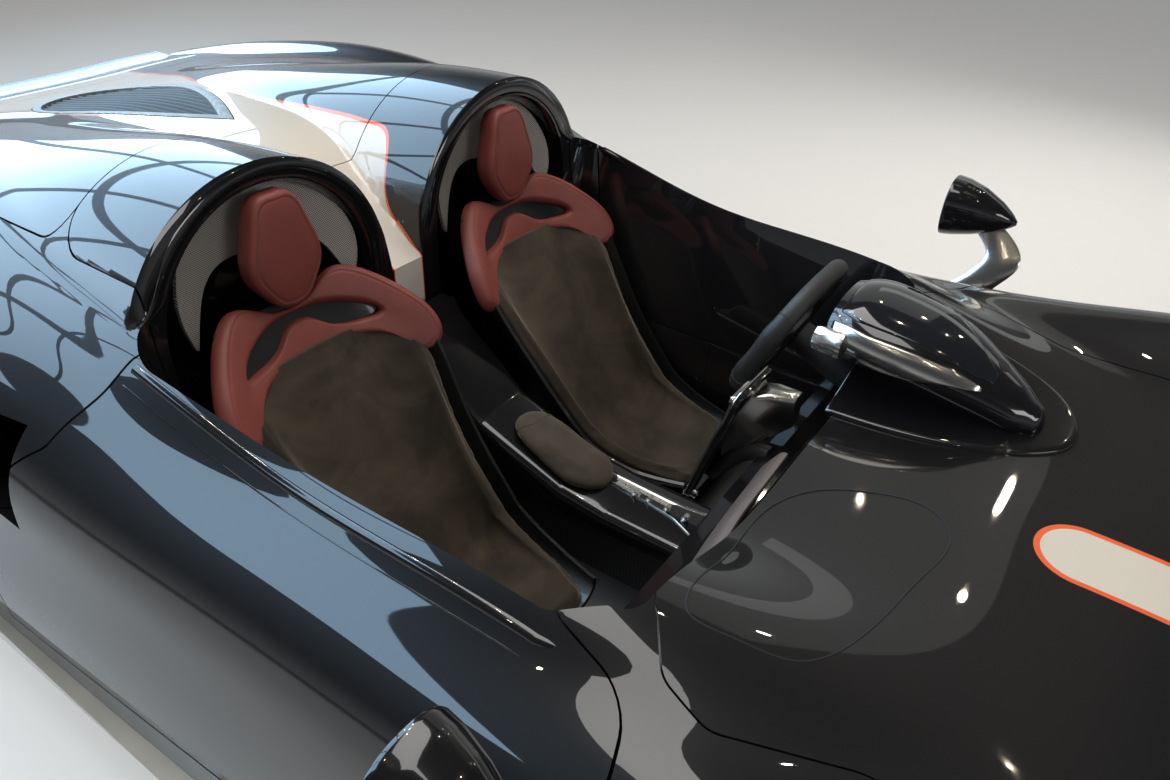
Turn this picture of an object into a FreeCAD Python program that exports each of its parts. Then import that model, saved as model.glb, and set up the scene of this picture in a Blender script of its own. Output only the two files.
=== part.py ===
import FreeCAD, Part
import math
import os
from FreeCAD import Vector as V

# Open two-seat supercar, millimetres. The front faces -Y, the car's left side is +X, the floor is z = 0.

# Whole car
frontAxleY = -1195.0
wheelbase = 2670.0
rearAxleY = frontAxleY + wheelbase
groundClearance = 120.0
panelGap = 0.3
doorGap = 7.0
skinWall = 26.0

# Wheels: tyre radius, tyre width, rim radius, rim width, middle of the tyre from the centre line
frontTyreRadius = 327.0
frontTyreWidth = 245.0
frontRimRadius = 241.3
frontRimWidth = 228.6
frontTrackHalf = 825.0
rearTyreRadius = 345.5
rearTyreWidth = 305.0
rearRimRadius = 254.0
rearRimWidth = 279.4
rearTrackHalf = 808.5
spokeCount = 10
frontDiscRadius = 195.0
rearDiscRadius = 190.0
discThickness = 32.0
hubRadius = 72.0
stubRadius = 32.0
stubClearance = 0.4
frontMountFace = 45.0
rearMountFace = 62.0
kingpinX = 785.0
kingpinInclination = 6.0
kingpinCaster = 4.0
runningGap = 5.0

# Wheel arches
frontArchRadius = 365.0
rearArchRadius = 375.0
frontWellWallX = 520.0
rearWellWallX = 545.0

# Cockpit
floorTop = 165.0
cockpitHalfWidth = 585.0
cockpitRimHalfWidth = 716.0
rimZ = 840.0
cockpitWallBreakZ = 400.0
cockpitFrontY = -470.0
cockpitRearY = 530.0
footwellHalfWidth = 490.0
footwellFrontY = -1130.0
footwellTop = 520.0
sillTop = 226.0

# Seats
seatX = 355.0
shellWall = 14.0
padGap = 0.6

# Hoops behind the seats
hoopBayCentreX = 362.0

# Steering wheel
steeringWheelCentre = V(355, -290, 700)
steeringWheelRadius = 178.0
steeringWheelTilt = 25.0
steeringRimRadius = 15.0

nodes = {}


def box(x0, x1, y0, y1, z0, z1):
    return Part.makeBox(x1 - x0, y1 - y0, z1 - z0, V(x0, y0, z0))


def mirrored(shape):
    return shape.mirror(V(0, 0, 0), V(1, 0, 0))


def bothSides(shape):
    return [shape, mirrored(shape)]


def polygonWire(points):
    return Part.makePolygon(points + [points[0]])


def plate(points, direction):
    # Closed polygon of 3-D points carried along one direction.
    return Part.Face(polygonWire(points)).extrude(direction)


def planPlate(points, z0, z1):
    # Plan outline of (x, y) points between two heights.
    return plate([V(x, y, z0) for x, y in points], V(0, 0, z1 - z0))


def halfPlan(points, z0, z1):
    # Plan outline given for the left half, and the same mirrored on the right.
    full = points + [(-x, y) for x, y in reversed(points) if x > 0]
    return planPlate(full, z0, z1)


def sidePlate(points, x0, x1):
    # Side outline of (y, z) points between two distances from the centre line.
    return plate([V(x0, y, z) for y, z in points], V(x1 - x0, 0, 0))


def stack(levels, ruled=True):
    # Loft through closed polygons with the same number of corners.
    return Part.makeLoft([polygonWire(points) for points in levels], True, ruled)


def tube(a, b, radius):
    return Part.makeCylinder(radius, (b - a).Length, a, b - a)


def bowed(a, b, bulge):
    # Arc from a to b that stands out from its chord by a share of the chord.
    middle = (a + b) * 0.5
    along = b - a
    normal = V(along.z, 0, -along.x)
    normal.normalize()
    return Part.Arc(a, middle + normal * bulge * along.Length, b).toShape()


def fuse(shapes):
    result = shapes[0]
    for shape in shapes[1:]:
        result = result.fuse(shape)
    return result.removeSplitter()


def largest(shape, count=1):
    return sorted(shape.Solids, key=lambda solid: -solid.Volume)[:count]


def add(name, shapes):
    nodes[name] = Part.makeCompound([solid for shape in shapes for solid in shape.Solids])


# Body sections: station y, centre top z, ridge x z, fender crest x z, widest side x z, lower edge x z
bodySections = [
    (-2305, 318, 150, 324, 300, 318, 430, 255, 415, 150),
    (-2180, 415, 270, 425, 520, 440, 735, 345, 720, 138),
    (-1900, 530, 370, 552, 690, 622, 900, 460, 885, 126),
    (-1550, 612, 420, 640, 752, 752, 952, 540, 930, 120),
    (-1195, 658, 450, 688, 775, 800, 970, 570, 940, 120),
    (-800, 668, 560, 708, 800, 735, 948, 560, 925, 120),
    (-430, 660, 668, 756, 795, 700, 925, 540, 930, 120),
    (100, 668, 700, 776, 806, 712, 926, 522, 942, 120),
    (475, 712, 715, 850, 834, 768, 945, 545, 950, 120),
    (800, 912, 690, 904, 846, 866, 962, 580, 955, 122),
    (1150, 962, 615, 948, 815, 934, 971, 612, 958, 126),
    (1475, 942, 585, 934, 788, 948, 972, 640, 950, 150),
    (1800, 884, 560, 890, 760, 916, 955, 668, 915, 240),
    (2100, 842, 530, 850, 705, 866, 900, 690, 850, 380),
    (2306, 806, 480, 812, 620, 822, 790, 700, 760, 500),
]

# Hoop and buttress sections: station y, inner x z, top x z, outer x z
hoopSections = [
    (555, 59, 826, 384, 1088, 660, 915),
    (800, 72, 852, 378, 1072, 655, 925),
    (1150, 90, 880, 362, 1016, 640, 915),
    (1500, 120, 880, 345, 955, 590, 890),
    (1850, 140, 840, 330, 878, 540, 840),
]
hoopFoot = 420.0


def bodySection(row, inset):
    y, zc, xr, zr, xf, zf, xs, zs, xl, zl = row
    centre = V(0, y, zc - inset)
    ridge = V(xr - inset * 0.3, y, zr - inset)
    crest = V(xf - inset * 0.5, y, zf - inset)
    side = V(xs - inset, y, zs - inset * 0.4)
    lower = V(xl - inset, y, zl + inset)
    other = [V(-p.x, p.y, p.z) for p in (ridge, crest, side, lower)]
    edges = [
        Part.LineSegment(other[3], lower).toShape(),
        bowed(lower, side, 0.02),
        bowed(side, crest, 0.16),
        bowed(crest, ridge, -0.03),
        Part.Arc(ridge, centre, other[0]).toShape(),
        bowed(other[0], other[1], -0.03),
        bowed(other[1], other[2], 0.16),
        bowed(other[2], other[3], 0.02),
    ]
    return Part.Wire(edges)


def hoopSection(row, inset):
    y, xi, zi, xt, zt, xo, zo = row
    inner = V(xi + inset, y, zi)
    outer = V(xo - inset, y, zo)
    top = V(xt, y, zt - inset)
    innerFoot = V(inner.x, y, hoopFoot)
    outerFoot = V(outer.x, y, hoopFoot)
    edges = [
        Part.LineSegment(innerFoot, inner).toShape(),
        Part.Arc(inner, top, outer).toShape(),
        Part.LineSegment(outer, outerFoot).toShape(),
        Part.LineSegment(outerFoot, innerFoot).toShape(),
    ]
    return Part.Wire(edges)


def bodyForm(inset, withHoops):
    form = Part.makeLoft([bodySection(row, inset) for row in bodySections], True, False)
    if not withHoops:
        return form
    hoop = Part.makeLoft([hoopSection(row, inset) for row in hoopSections], True, False)
    return form.fuse(hoop).fuse(mirrored(hoop))


# Outer form
outer = bodyForm(0.0, True)


def archCut(axleY, axleZ, radius, wallX):
    return Part.makeCylinder(radius, 600, V(wallX, axleY, axleZ), V(1, 0, 0))


def cockpitVoid():
    low = halfPlan([(cockpitHalfWidth - 40, cockpitFrontY), (cockpitHalfWidth, cockpitFrontY + 150),
                    (cockpitHalfWidth, cockpitRearY - 90), (cockpitHalfWidth - 40, cockpitRearY)],
                   floorTop, cockpitWallBreakZ + 0.5)
    bottom = [(cockpitHalfWidth - 40, cockpitFrontY), (cockpitHalfWidth, cockpitFrontY + 150),
              (cockpitHalfWidth, cockpitRearY - 90), (cockpitHalfWidth - 40, cockpitRearY)]
    top = [(cockpitRimHalfWidth - 140, cockpitFrontY - 10), (cockpitRimHalfWidth - 18, cockpitFrontY + 80),
           (cockpitRimHalfWidth, cockpitRearY - 70), (cockpitRimHalfWidth - 50, cockpitRearY)]

    def level(points, z):
        return [V(x, y, z) for x, y in points + [(-x, y) for x, y in reversed(points)]]

    high = stack([level(bottom, cockpitWallBreakZ), level(top, rimZ)])
    above = halfPlan(top, rimZ - 0.5, 1300)
    footwell = halfPlan([(footwellHalfWidth, footwellFrontY), (footwellHalfWidth, cockpitFrontY + 1)],
                        floorTop, footwellTop)
    return low.fuse(high).fuse(above).fuse(footwell)


def hoopBay():
    # Bay behind one seat: arched sections that close in towards the back.
    rows = [(cockpitRearY - 40, 262, 1052, 300), (640, 248, 1040, 300), (745, 205, 985, 330)]
    wires = []
    for y, half, top, foot in rows:
        left = V(hoopBayCentreX - half, y, top - half)
        right = V(hoopBayCentreX + half, y, top - half)
        edges = [
            Part.LineSegment(V(left.x, y, foot), left).toShape(),
            Part.Arc(left, V(hoopBayCentreX, y, top), right).toShape(),
            Part.LineSegment(right, V(right.x, y, foot)).toShape(),
            Part.LineSegment(V(right.x, y, foot), V(left.x, y, foot)).toShape(),
        ]
        wires.append(Part.Wire(edges))
    return Part.makeLoft(wires, True, True)


def sideIntake():
    # Duct behind the door, from its mouth on the shoulder back towards the engine bay.
    def level(y, x0, x1, z0, z1):
        return [V(x0, y, z0), V(x1, y, z0 + 30), V(x1, y, z1), V(x0, y, z1 + 40)]
    return stack([level(560, 800, 1010, 560, 740), level(760, 800, 938, 590, 780),
                  level(1060, 770, 860, 640, 780)])


def frontDuct():
    # Channel from the front wheel arch over the side of the door.
    def level(y, x0, x1, z0, z1):
        return [V(x0, y, z0), V(x1, y, z0), V(x1, y, z1), V(x0, y, z1)]
    return stack([level(-900, 760, 1000, 380, 600), level(-560, 820, 1000, 400, 612),
                  level(-300, 890, 1000, 440, 590)])


cockpit = cockpitVoid()
bay = hoopBay()
cuts = [cockpit, bay, mirrored(bay)]
for sideCut in (archCut(frontAxleY, frontTyreRadius, frontArchRadius, frontWellWallX),
                archCut(rearAxleY, rearTyreRadius, rearArchRadius, rearWellWallX),
                sideIntake(), frontDuct()):
    cuts += bothSides(sideCut)

# Nose intake and engine bay
noseIntakeBack = -2010.0
noseIntake = halfPlan([(560, -2400), (470, noseIntakeBack)], 170, 268)
engineBayFloor = 175.0
engineBay = box(-410, 410, 800, 1640, engineBayFloor, 800)
cuts += [noseIntake, engineBay]
carved = outer
for cut in cuts:
    carved = carved.cut(cut)

# Doors: seams as (x, y, z) corners on the skin, and the way each shut face runs inboard from its seam.
# The faces are flared, so that the door swings out and up about its slanted hinge without touching them.
doorFrontSeam = [(684, -395, 761), (740, -560, 740), (930, -590, 640), (940, -612, 560), (932, -604, 232)]
doorRearSeam = [(723, 475, 855), (865, 500, 730), (910, 600, 577), (950, 737, 400), (950, 765, 330),
                (950, 765, 232)]
doorFrontRun = V(-1, 0.8, -0.7)
doorRearRun = V(-1, -0.45, -0.75)
doorSeamPlaneX = 950.0
doorInnerX = 600.0
doorBottom = 232.0


def shutPrism(seam, run, farY, grow):
    # Everything on one side of a seam, carried inboard and outboard along the shut face's own direction.
    corners = []
    for x, y, z in seam:
        shift = x - doorSeamPlaneX
        corners.append(V(doorSeamPlaneX, y + run.y * shift, z + run.z * shift))
    first, last = corners[0], corners[-1]
    corners = [V(first.x, first.y, 1600)] + corners + [V(last.x, last.y, -500), V(last.x, farY, -500),
                                                       V(last.x, farY, 1600)]
    outline = polygonWire(corners)
    if grow:
        outline = outline.makeOffset2D(grow, 2)
    prism = Part.Face(outline).extrude(run * 520)
    prism.translate(run * -120)
    return prism


def doorRegion(grow):
    front = shutPrism(doorFrontSeam, doorFrontRun, 1500, grow)
    rear = shutPrism(doorRearSeam, doorRearRun, -1500, grow)
    return front.common(rear).common(box(doorInnerX - grow, 1060, -1400, 1400, doorBottom - grow, 1300))


doorShape = carved.common(doorRegion(0.0))
doorLeft = largest(doorShape)
doorRight = [mirrored(doorLeft[0])]
add("door_left", doorLeft)
add("door_right", doorRight)
shell = carved.cut(doorRegion(doorGap)).cut(mirrored(doorRegion(doorGap)))

# Tub
tubFrontY = frontAxleY + frontArchRadius - 10
tubRearY = rearAxleY - rearArchRadius + 10
tubZone = box(-1100, 1100, tubFrontY, tubRearY, 0, sillTop)
tub = shell.common(tubZone)
shell = shell.cut(box(-1100, 1100, tubFrontY - panelGap, tubRearY + panelGap, 0, sillTop + panelGap))
tunnelTop = 300.0
tunnel = box(-78, 78, cockpitFrontY, 500, floorTop - 5, tunnelTop)
jackPadRadius = 38.0
jackPadFace = 98.0
jackPadPlaces = [(x, y) for x in (-720, 720) for y in (-640, 900)]


def jackPads(radius, top):
    return [Part.makeCylinder(radius, top - jackPadFace, V(x, y, jackPadFace)) for x, y in jackPadPlaces]


add("tub", [fuse([tub, tunnel] + jackPads(jackPadRadius, groundClearance + 5))])

front = shell.common(box(-1100, 1100, -2400, 0, 0, 1200))
rear = shell.common(box(-1100, 1100, 0, 2400, 0, 1200))

# Front: clamshell with the bonnet let in
bonnetPlan = [(560, -485), (665, -560), (690, -645), (625, -820), (585, -1250), (480, -1900), (300, -2010)]


def skinUnder(plan, grow, inset, withHoops, low):
    # Space above the given depth inside the skin, within a plan outline.
    zone = halfPlan([(x + grow, y) for x, y in plan], low, 1200)
    return zone.cut(bodyForm(inset, withHoops))


bonnet = front.common(skinUnder(bonnetPlan, 0, skinWall, False, 300))
add("bonnet", largest(bonnet))
bonnetPocket = skinUnder(bonnetPlan, panelGap, skinWall + panelGap, False, 300)
frontClam = front.cut(bonnetPocket)
add("front_clamshell", largest(frontClam))

# Rear: hoop cowl, deck and clamshell
hoopCowlRearY = 790.0
hoopZone = halfPlan([(646, 400), (646, hoopCowlRearY)], 300, 1200)
add("hoop_cowl", largest(rear.common(hoopZone)))
rear = rear.cut(halfPlan([(646 + panelGap, 390), (646 + panelGap, hoopCowlRearY + panelGap)], 290, 1200))
deckPlan = [(640, hoopCowlRearY + panelGap), (640, 1500), (560, 2010)]
deck = rear.common(skinUnder(deckPlan, 0, skinWall, True, 600))
ventHalfWidth = 178.0
ventFrontY = 1130.0
ventRearY = 1914.0


def lens(inset, z0, z1):
    # Pointed oval between the two ends of the engine vent.
    a = V(0, ventFrontY + inset * 2, z0)
    b = V(0, ventRearY - inset * 2, z0)
    half = ventHalfWidth - inset
    middle = (ventFrontY + ventRearY) / 2
    edges = [Part.Arc(a, V(half, middle, z0), b).toShape(), Part.Arc(b, V(-half, middle, z0), a).toShape()]
    return Part.Face(Part.Wire(edges)).extrude(V(0, 0, z1 - z0))


add("rear_deck", largest(deck.cut(lens(0, 500, 1300))))
deckPocket = skinUnder(deckPlan, panelGap, skinWall + panelGap, True, 590)
rearClam = rear.cut(deckPocket).cut(lens(0, 500, 1300))
add("rear_clamshell", largest(rearClam))

# Engine vent: rim and louvres
ventSlab = lens(panelGap, 500, 1300).cut(bodyForm(skinWall - 6, True)).common(outer)
louvres = []
louvreCount = 14
louvrePitch = 46.0
for index in range(louvreCount):
    y = ventFrontY + 96 + index * louvrePitch
    louvres.append(box(-300, 300, y, y + 24, 500, 1300))
ventInner = lens(24, 490, 1310)
louvreZone = fuse([shape for shape in louvres])
vent = ventSlab.cut(ventInner.common(louvreZone))
add("engine_vent", largest(vent))

# Undertray, splitter, skirts and diffuser
undertrayGap = 1.0
undertray = halfPlan([(560, -2120), (500, -1600), (500, -830), (850, -800), (860, 1080), (520, 1110),
                      (520, 1740)], 104, groundClearance - undertrayGap)
for pad in jackPads(jackPadRadius + 2, groundClearance + 5):
    undertray = undertray.cut(pad)
add("undertray", [undertray])
splitterTop = 119.7
splitter = halfPlan([(300, -2300), (640, -2230), (760, -2090), (840, -1900), (840, -1580), (565, -1580),
                     (565, -2118)], 100, splitterTop)
splitterCut = halfPlan([(562, -2120 - panelGap), (562, -1500)], 90, 130)
add("front_splitter", [splitter.cut(splitterCut)])
skirtLeft = stack([
    [V(862, -800, 96), V(952, -800, 96), V(960, -800, 112), V(862, -800, 119)],
    [V(862, 100, 96), V(975, 100, 96), V(985, 100, 130), V(862, 100, 119)],
    [V(862, 1060, 96), V(972, 1060, 96), V(984, 1060, 190), V(862, 1060, 119)],
])
skirt = skirtLeft.cut(outer)
add("side_skirts", bothSides(largest(skirt)[0]))
diffuserPlate = stack([
    [V(-515, 1741, 104), V(515, 1741, 104), V(515, 1741, 300), V(-515, 1741, 300)],
    [V(-540, 1900, 150), V(540, 1900, 150), V(540, 1900, 400), V(-540, 1900, 400)],
    [V(-600, 2285, 400), V(600, 2285, 400), V(600, 2285, 600), V(-600, 2285, 600)],
])
fins = []
for x in (-500, -330, -120, 120, 330, 500):
    fins.append(sidePlate([(1760, 105), (2270, 230), (2285, 420), (1900, 170)], x - 6, x + 6))
add("rear_diffuser", largest(fuse([diffuserPlate] + fins).cut(outer)))

# Engine
add("engine_block", [box(-300, 300, 900, 1560, engineBayFloor + panelGap, 690)])

# Seats: spine of the shell as stations y, z, slope in degrees, half width, side height, pad thickness
seatSpine = [
    (-165, 236, -16, 165, 40, 34),
    (-20, 210, -4, 200, 70, 38),
    (120, 215, 14, 215, 110, 42),
    (225, 285, 46, 222, 118, 42),
    (350, 465, 60, 238, 100, 40),
    (452, 640, 64, 254, 84, 34),
    (540, 788, 70, 190, 40, 20),
]
bucketCornerShare = 0.42
bucketRiseShare = 0.3


def frameAt(y, z, slope):
    # Point on the seat's centre plane, and the direction out of its surface there.
    angle = math.radians(slope)
    return V(0, y, z), V(0, -math.sin(angle), math.cos(angle))


def seatLevel(row):
    # Corner points of the bucket across the seat: a shallow trough with raised sides.
    y, z, slope, half, side, pad = row
    origin, normal = frameAt(y, z, slope)
    corner = half * bucketCornerShare
    rise = side * bucketRiseShare
    within = half - shellWall
    outside = [(-half, side), (-half, rise), (-half + corner, 0), (half - corner, 0), (half, rise), (half, side)]
    inside = [(within, side), (within, rise + shellWall), (within - corner, shellWall),
              (-within + corner, shellWall), (-within, rise + shellWall), (-within, side)]
    return [origin + V(u, 0, 0) + normal * v for u, v in outside + inside]


def padLevel(row):
    # The cushion that lines the trough, thinner towards its raised edges.
    y, z, slope, half, side, pad = row
    origin, normal = frameAt(y, z, slope)
    corner = half * bucketCornerShare
    half = half - shellWall - padGap
    low = shellWall + padGap
    rise = side * bucketRiseShare + low
    top = max(side * 0.86, rise + 4)
    edge = half - pad * 0.8
    outline = [(-half, top), (-half, rise), (-half + corner, low), (half - corner, low), (half, rise),
               (half, top), (edge, top), (half - corner, low + pad), (-half + corner, low + pad), (-edge, top)]
    return [origin + V(u, 0, 0) + normal * v for u, v in outline]


def atSeats(shape):
    left = shape.copy()
    left.translate(V(seatX, 0, 0))
    right = shape.copy()
    right.translate(V(-seatX, 0, 0))
    return [left, right]


def mirroredOutline(points):
    return points + [(-u, v) for u, v in reversed(points) if u > 0]


# Wing-shaped collar round the shoulders: an outline across the back, curved about the back's own line
backSlope = 62.0
backOrigin, backOut = frameAt(400, 640, backSlope)
backUp = V(0, math.cos(math.radians(backSlope)), math.sin(math.radians(backSlope)))
collarRadius = 440.0
collarThickness = 40.0
collarMiddle = -30.0
wrapLength = 700.0


def outlinePlate(points, origin, up, out, w0, w1):
    # Plate between two depths, from an outline of (across, up) points.
    corners = [origin + V(u, 0, 0) + up * v + out * w0 for u, v in points]
    return plate(corners, out * (w1 - w0))


def wrapShell(origin, up, out, middle, radius, thickness):
    # Wall of a cylinder that stands along the up direction and curls forward to both sides.
    foot = origin + out * (middle + radius) - up * (wrapLength / 2)
    outside = Part.makeCylinder(radius + thickness, wrapLength, foot, up)
    return outside.cut(Part.makeCylinder(radius, wrapLength, foot, up))


# Half outlines of (across, up) points: the collar's edge, the crescent slot let into it
collarOutline = mirroredOutline([(0, 181), (50, 189), (92, 211), (125, 220), (160, 204), (200, 165), (236, 112),
                                 (261, 58), (268, 16), (258, -22), (238, -34), (217, -24), (199, 4), (172, 34),
                                 (140, 54), (100, 65), (55, 69), (0, 69)])
collarSlot = mirroredOutline([(0, 166), (60, 161), (118, 139), (160, 113), (173, 98), (162, 89), (132, 93),
                              (90, 102), (62, 116), (36, 140), (17, 150), (0, 152)])
collar = wrapShell(backOrigin, backUp, backOut, collarMiddle, collarRadius, collarThickness)
collar = collar.common(outlinePlate(collarOutline, backOrigin, backUp, backOut, -100, 110))
collar = collar.cut(outlinePlate(collarSlot, backOrigin, backUp, backOut, -120, 120))
seatShell = stack([seatLevel(row) for row in seatSpine])
padRows = seatSpine[:-2] + [(452, 640, 64, 254, 84, 34), (486, 698, 66, 232, 68, 22)]
seatPad = stack([padLevel(row) for row in padRows])
seatShell = seatShell.cut(collar)
seatPad = seatPad.cut(collar)
add("seat_shells", atSeats(largest(seatShell)[0]))
add("seat_pads", atSeats(largest(seatPad)[0]))
add("seat_collars", atSeats(largest(collar)[0]))

# Headrest and the panel behind it stand almost upright
headOrigin = V(0, 536, 794)
headTilt = math.radians(5)
headUp = V(0, math.sin(headTilt), math.cos(headTilt))
headOut = V(0, -math.cos(headTilt), math.sin(headTilt))
headrestBack = -51.7
headrestFront = 50.0
haloRadius = 556.0
haloThickness = 8.0
haloMiddle = headrestBack - panelGap
headrestOutline = mirroredOutline([(0, 232), (34, 229), (52, 210), (66, 172), (86, 98), (84, 76), (58, 30), (34, 4),
                                   (0, -4)])
haloOutline = mirroredOutline([(0, 236), (60, 233), (100, 226), (138, 207), (172, 174), (200, 128), (216, 84),
                               (219, 30), (204, -30), (196, -36), (182, 0), (168, 32), (152, 60), (132, 82),
                               (105, 98), (40, 103), (0, 96)])
halo = wrapShell(headOrigin, headUp, headOut, haloMiddle, haloRadius, haloThickness)
halo = halo.common(outlinePlate(haloOutline, headOrigin, headUp, headOut, -100, 60)).cut(seatShell).cut(collar)
headrest = outlinePlate(headrestOutline, headOrigin, headUp, headOut, headrestBack - 12, headrestFront)
headrest = headrest.cut(wrapShell(headOrigin, headUp, headOut, headrestBack, haloRadius, 60)).cut(collar)
add("headrests", atSeats(largest(headrest.cut(seatShell))[0]))
add("headrest_halos", atSeats(largest(halo)[0]))

# Centre console, armrest, switches
consoleHalf = 92.0
consoleFoot = tunnelTop + panelGap
consoleTop = [(-400, 348), (-100, 350), (20, 364), (250, 445), (440, 600), (470, 640), (500, 640)]
add("centre_console", [sidePlate([(-400, consoleFoot)] + consoleTop + [(500, consoleFoot)], -consoleHalf, consoleHalf)])


def consoleHeight(y):
    # Height of the console's top at one station.
    for (y0, z0), (y1, z1) in zip(consoleTop, consoleTop[1:]):
        if y0 <= y <= y1:
            return z0 + (z1 - z0) * (y - y0) / (y1 - y0)


armrestFoot = [(y, consoleHeight(y) + panelGap) for y in (-60, 20, 200)]
add("armrest", [sidePlate(armrestFoot + [(200, 462), (60, 430), (-50, 402)], -72, 72)])
switchFoot = [(y, consoleHeight(y) + panelGap) for y in (-330, -100)]
add("switch_panel", [sidePlate(switchFoot + [(-100, 356), (-330, 355)], -50, 84)])

# Dash across the front of the cockpit
dashSide = [(cockpitFrontY + panelGap, 420), (cockpitFrontY + panelGap, 585), (-425, 600), (-392, 585),
            (-400, 500), (-430, 420)]
dash = sidePlate(dashSide, -540, 540)
add("dash", [dash])

# Instrument pod: stations y, middle x, half width, bottom z, top z
podRows = [
    (-412, 355, 122, 715, 832),
    (-520, 350, 142, 704, 842),
    (-640, 341, 126, 688, 820),
    (-760, 322, 80, 670, 770),
    (-842, 308, 24, 664, 714),
]


def podSection(row):
    y, xm, half, low, high = row
    middle = (low + high) / 2
    left = V(xm - half, y, middle)
    right = V(xm + half, y, middle)
    edges = [Part.Arc(left, V(xm, y, high), right).toShape(), Part.Arc(right, V(xm, y, low), left).toShape()]
    return Part.Wire(edges)


pod = Part.makeLoft([podSection(row) for row in podRows], True, False)
add("instrument_pod", largest(pod.cut(front)))

# Steering wheel and column
tilt = math.radians(steeringWheelTilt)
wheelUp = V(0, -math.sin(tilt), math.cos(tilt))
wheelAxis = V(0, math.cos(tilt), math.sin(tilt))
gripRadius = steeringWheelRadius - steeringRimRadius
ring = Part.makeTorus(gripRadius, steeringRimRadius, steeringWheelCentre, wheelAxis)
hub = Part.makeCylinder(48, 44, steeringWheelCentre - wheelAxis * 30, wheelAxis)
spokes = [hub]
for degrees in (0, 180, 270):
    angle = math.radians(degrees)
    outward = V(math.cos(angle), 0, 0) + wheelUp * math.sin(angle)
    across = V(-math.sin(angle), 0, 0) + wheelUp * math.cos(angle)
    start = steeringWheelCentre + outward * 30 - across * 20 - wheelAxis * 12
    corners = [start, start + outward * (gripRadius - 30), start + outward * (gripRadius - 30) + across * 40,
               start + across * 40]
    spokes.append(plate(corners, wheelAxis * 14))
add("steering_wheel", [fuse([ring] + spokes)])
columnTop = steeringWheelCentre - wheelAxis * 30.4
columnFoot = columnTop - wheelAxis * 330
add("steering_column", largest(tube(columnFoot, columnTop, 36).cut(front).cut(dash)))

# Centre display
displayAngle = math.radians(16.6)
displayUp = V(0, -math.sin(displayAngle), math.cos(displayAngle))
displayOut = V(0, math.cos(displayAngle), math.sin(displayAngle))
displayFoot = V(-45, -282, 455)
displayCorners = [displayFoot, displayFoot + V(150, 0, 0), displayFoot + V(150, 0, 0) + displayUp * 300,
                  displayFoot + displayUp * 300]
panel = plate(displayCorners, displayOut * 16)
leg = sidePlate([(-392, 520), (-392, 575), (-308, 560), (-308, 505)], 0, 60)
add("centre_display", [fuse([panel, leg]).cut(dash)])

# Pedals
pedals = []
for x in (250, 400):
    pedals.append(sidePlate([(-1010, 190), (-1000, 190), (-1030, 330), (-1040, 330)], x, x + 70))
    pedals.append(sidePlate([(-1129.7, 300), (-1129.7, 320), (-1036, 320), (-1032, 300)], x + 25, x + 45))
add("pedals", [fuse(pedals[0:2]), fuse(pedals[2:4])])

# Mirrors on the doors
mirrorFoot = V(868, -520, 0)


def mirrorShape():
    rows = [(-590, 1000, 12, 800, 822), (-560, 1000, 34, 780, 850), (-500, 998, 62, 758, 884),
            (-440, 996, 74, 748, 894)]
    wires = []
    for y, xm, half, low, high in rows:
        middle = (low + high) / 2
        left = V(xm - half, y, middle)
        right = V(xm + half, y, middle)
        edges = [Part.Arc(left, V(xm, y, high), right).toShape(), Part.Arc(right, V(xm, y, low), left).toShape()]
        wires.append(Part.Wire(edges))
    head = Part.makeLoft(wires, True, False)
    stalk = stack([
        [V(850, -590, 690), V(905, -590, 640), V(905, -500, 640), V(850, -500, 690)],
        [V(925, -606, 742), V(950, -606, 730), V(950, -556, 730), V(925, -556, 742)],
        [V(980, -562, 806), V(1010, -562, 790), V(1010, -516, 790), V(980, -516, 806)],
    ])
    return head.fuse(stalk.cut(carved))


mirrorLeft = largest(mirrorShape())[0]
add("mirror_left", [mirrorLeft])
add("mirror_right", [mirrored(mirrorLeft)])

# Lamps, nose mesh, wing and exhausts
lampZone = sidePlate([(-2120, 430), (-1960, 500), (-1850, 560), (-1850, 590), (-2000, 540), (-2130, 470)], 560, 860)
headlamp = lampZone.common(outer).cut(bodyForm(18.0, False))
add("headlamps", bothSides(largest(headlamp)[0]))
nodes["front_clamshell"] = nodes["front_clamshell"].cut(nodes["headlamps"])
meshHalfBar = 4.0
meshPitch = 120.0
meshHalfWidth = 485.0
meshRowOffset = 25.0
towFrontZ = 219.0
# Two grids with an open cell between them, through which the towing eye passes; each is (first bar, last bar)
towEyeX = 2.5 * meshPitch
meshGrids = []
for first, last in ((-4, 2), (3, 4)):
    meshBars = []
    for index in range(first, last + 1):
        x = index * meshPitch
        meshBars.append(box(x - meshHalfBar, x + meshHalfBar, -2085, -2070, 165, 275))
    rowStart = max(first * meshPitch, -meshHalfWidth)
    rowEnd = min(last * meshPitch, meshHalfWidth)
    for z in (towFrontZ - meshRowOffset, towFrontZ + meshRowOffset):
        meshBars.append(box(rowStart, rowEnd, -2083, -2072, z - meshHalfBar, z + meshHalfBar))
    meshGrids += largest(fuse(meshBars).common(outer).common(noseIntake))
add("nose_mesh", meshGrids)
tailZone = sidePlate([(2240, 640), (2330, 640), (2330, 668), (2240, 668)], 430, 760)
tailLamp = tailZone.common(outer)
add("tail_lamps", bothSides(largest(tailLamp)[0]))
nodes["rear_clamshell"] = nodes["rear_clamshell"].cut(nodes["tail_lamps"])
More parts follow.
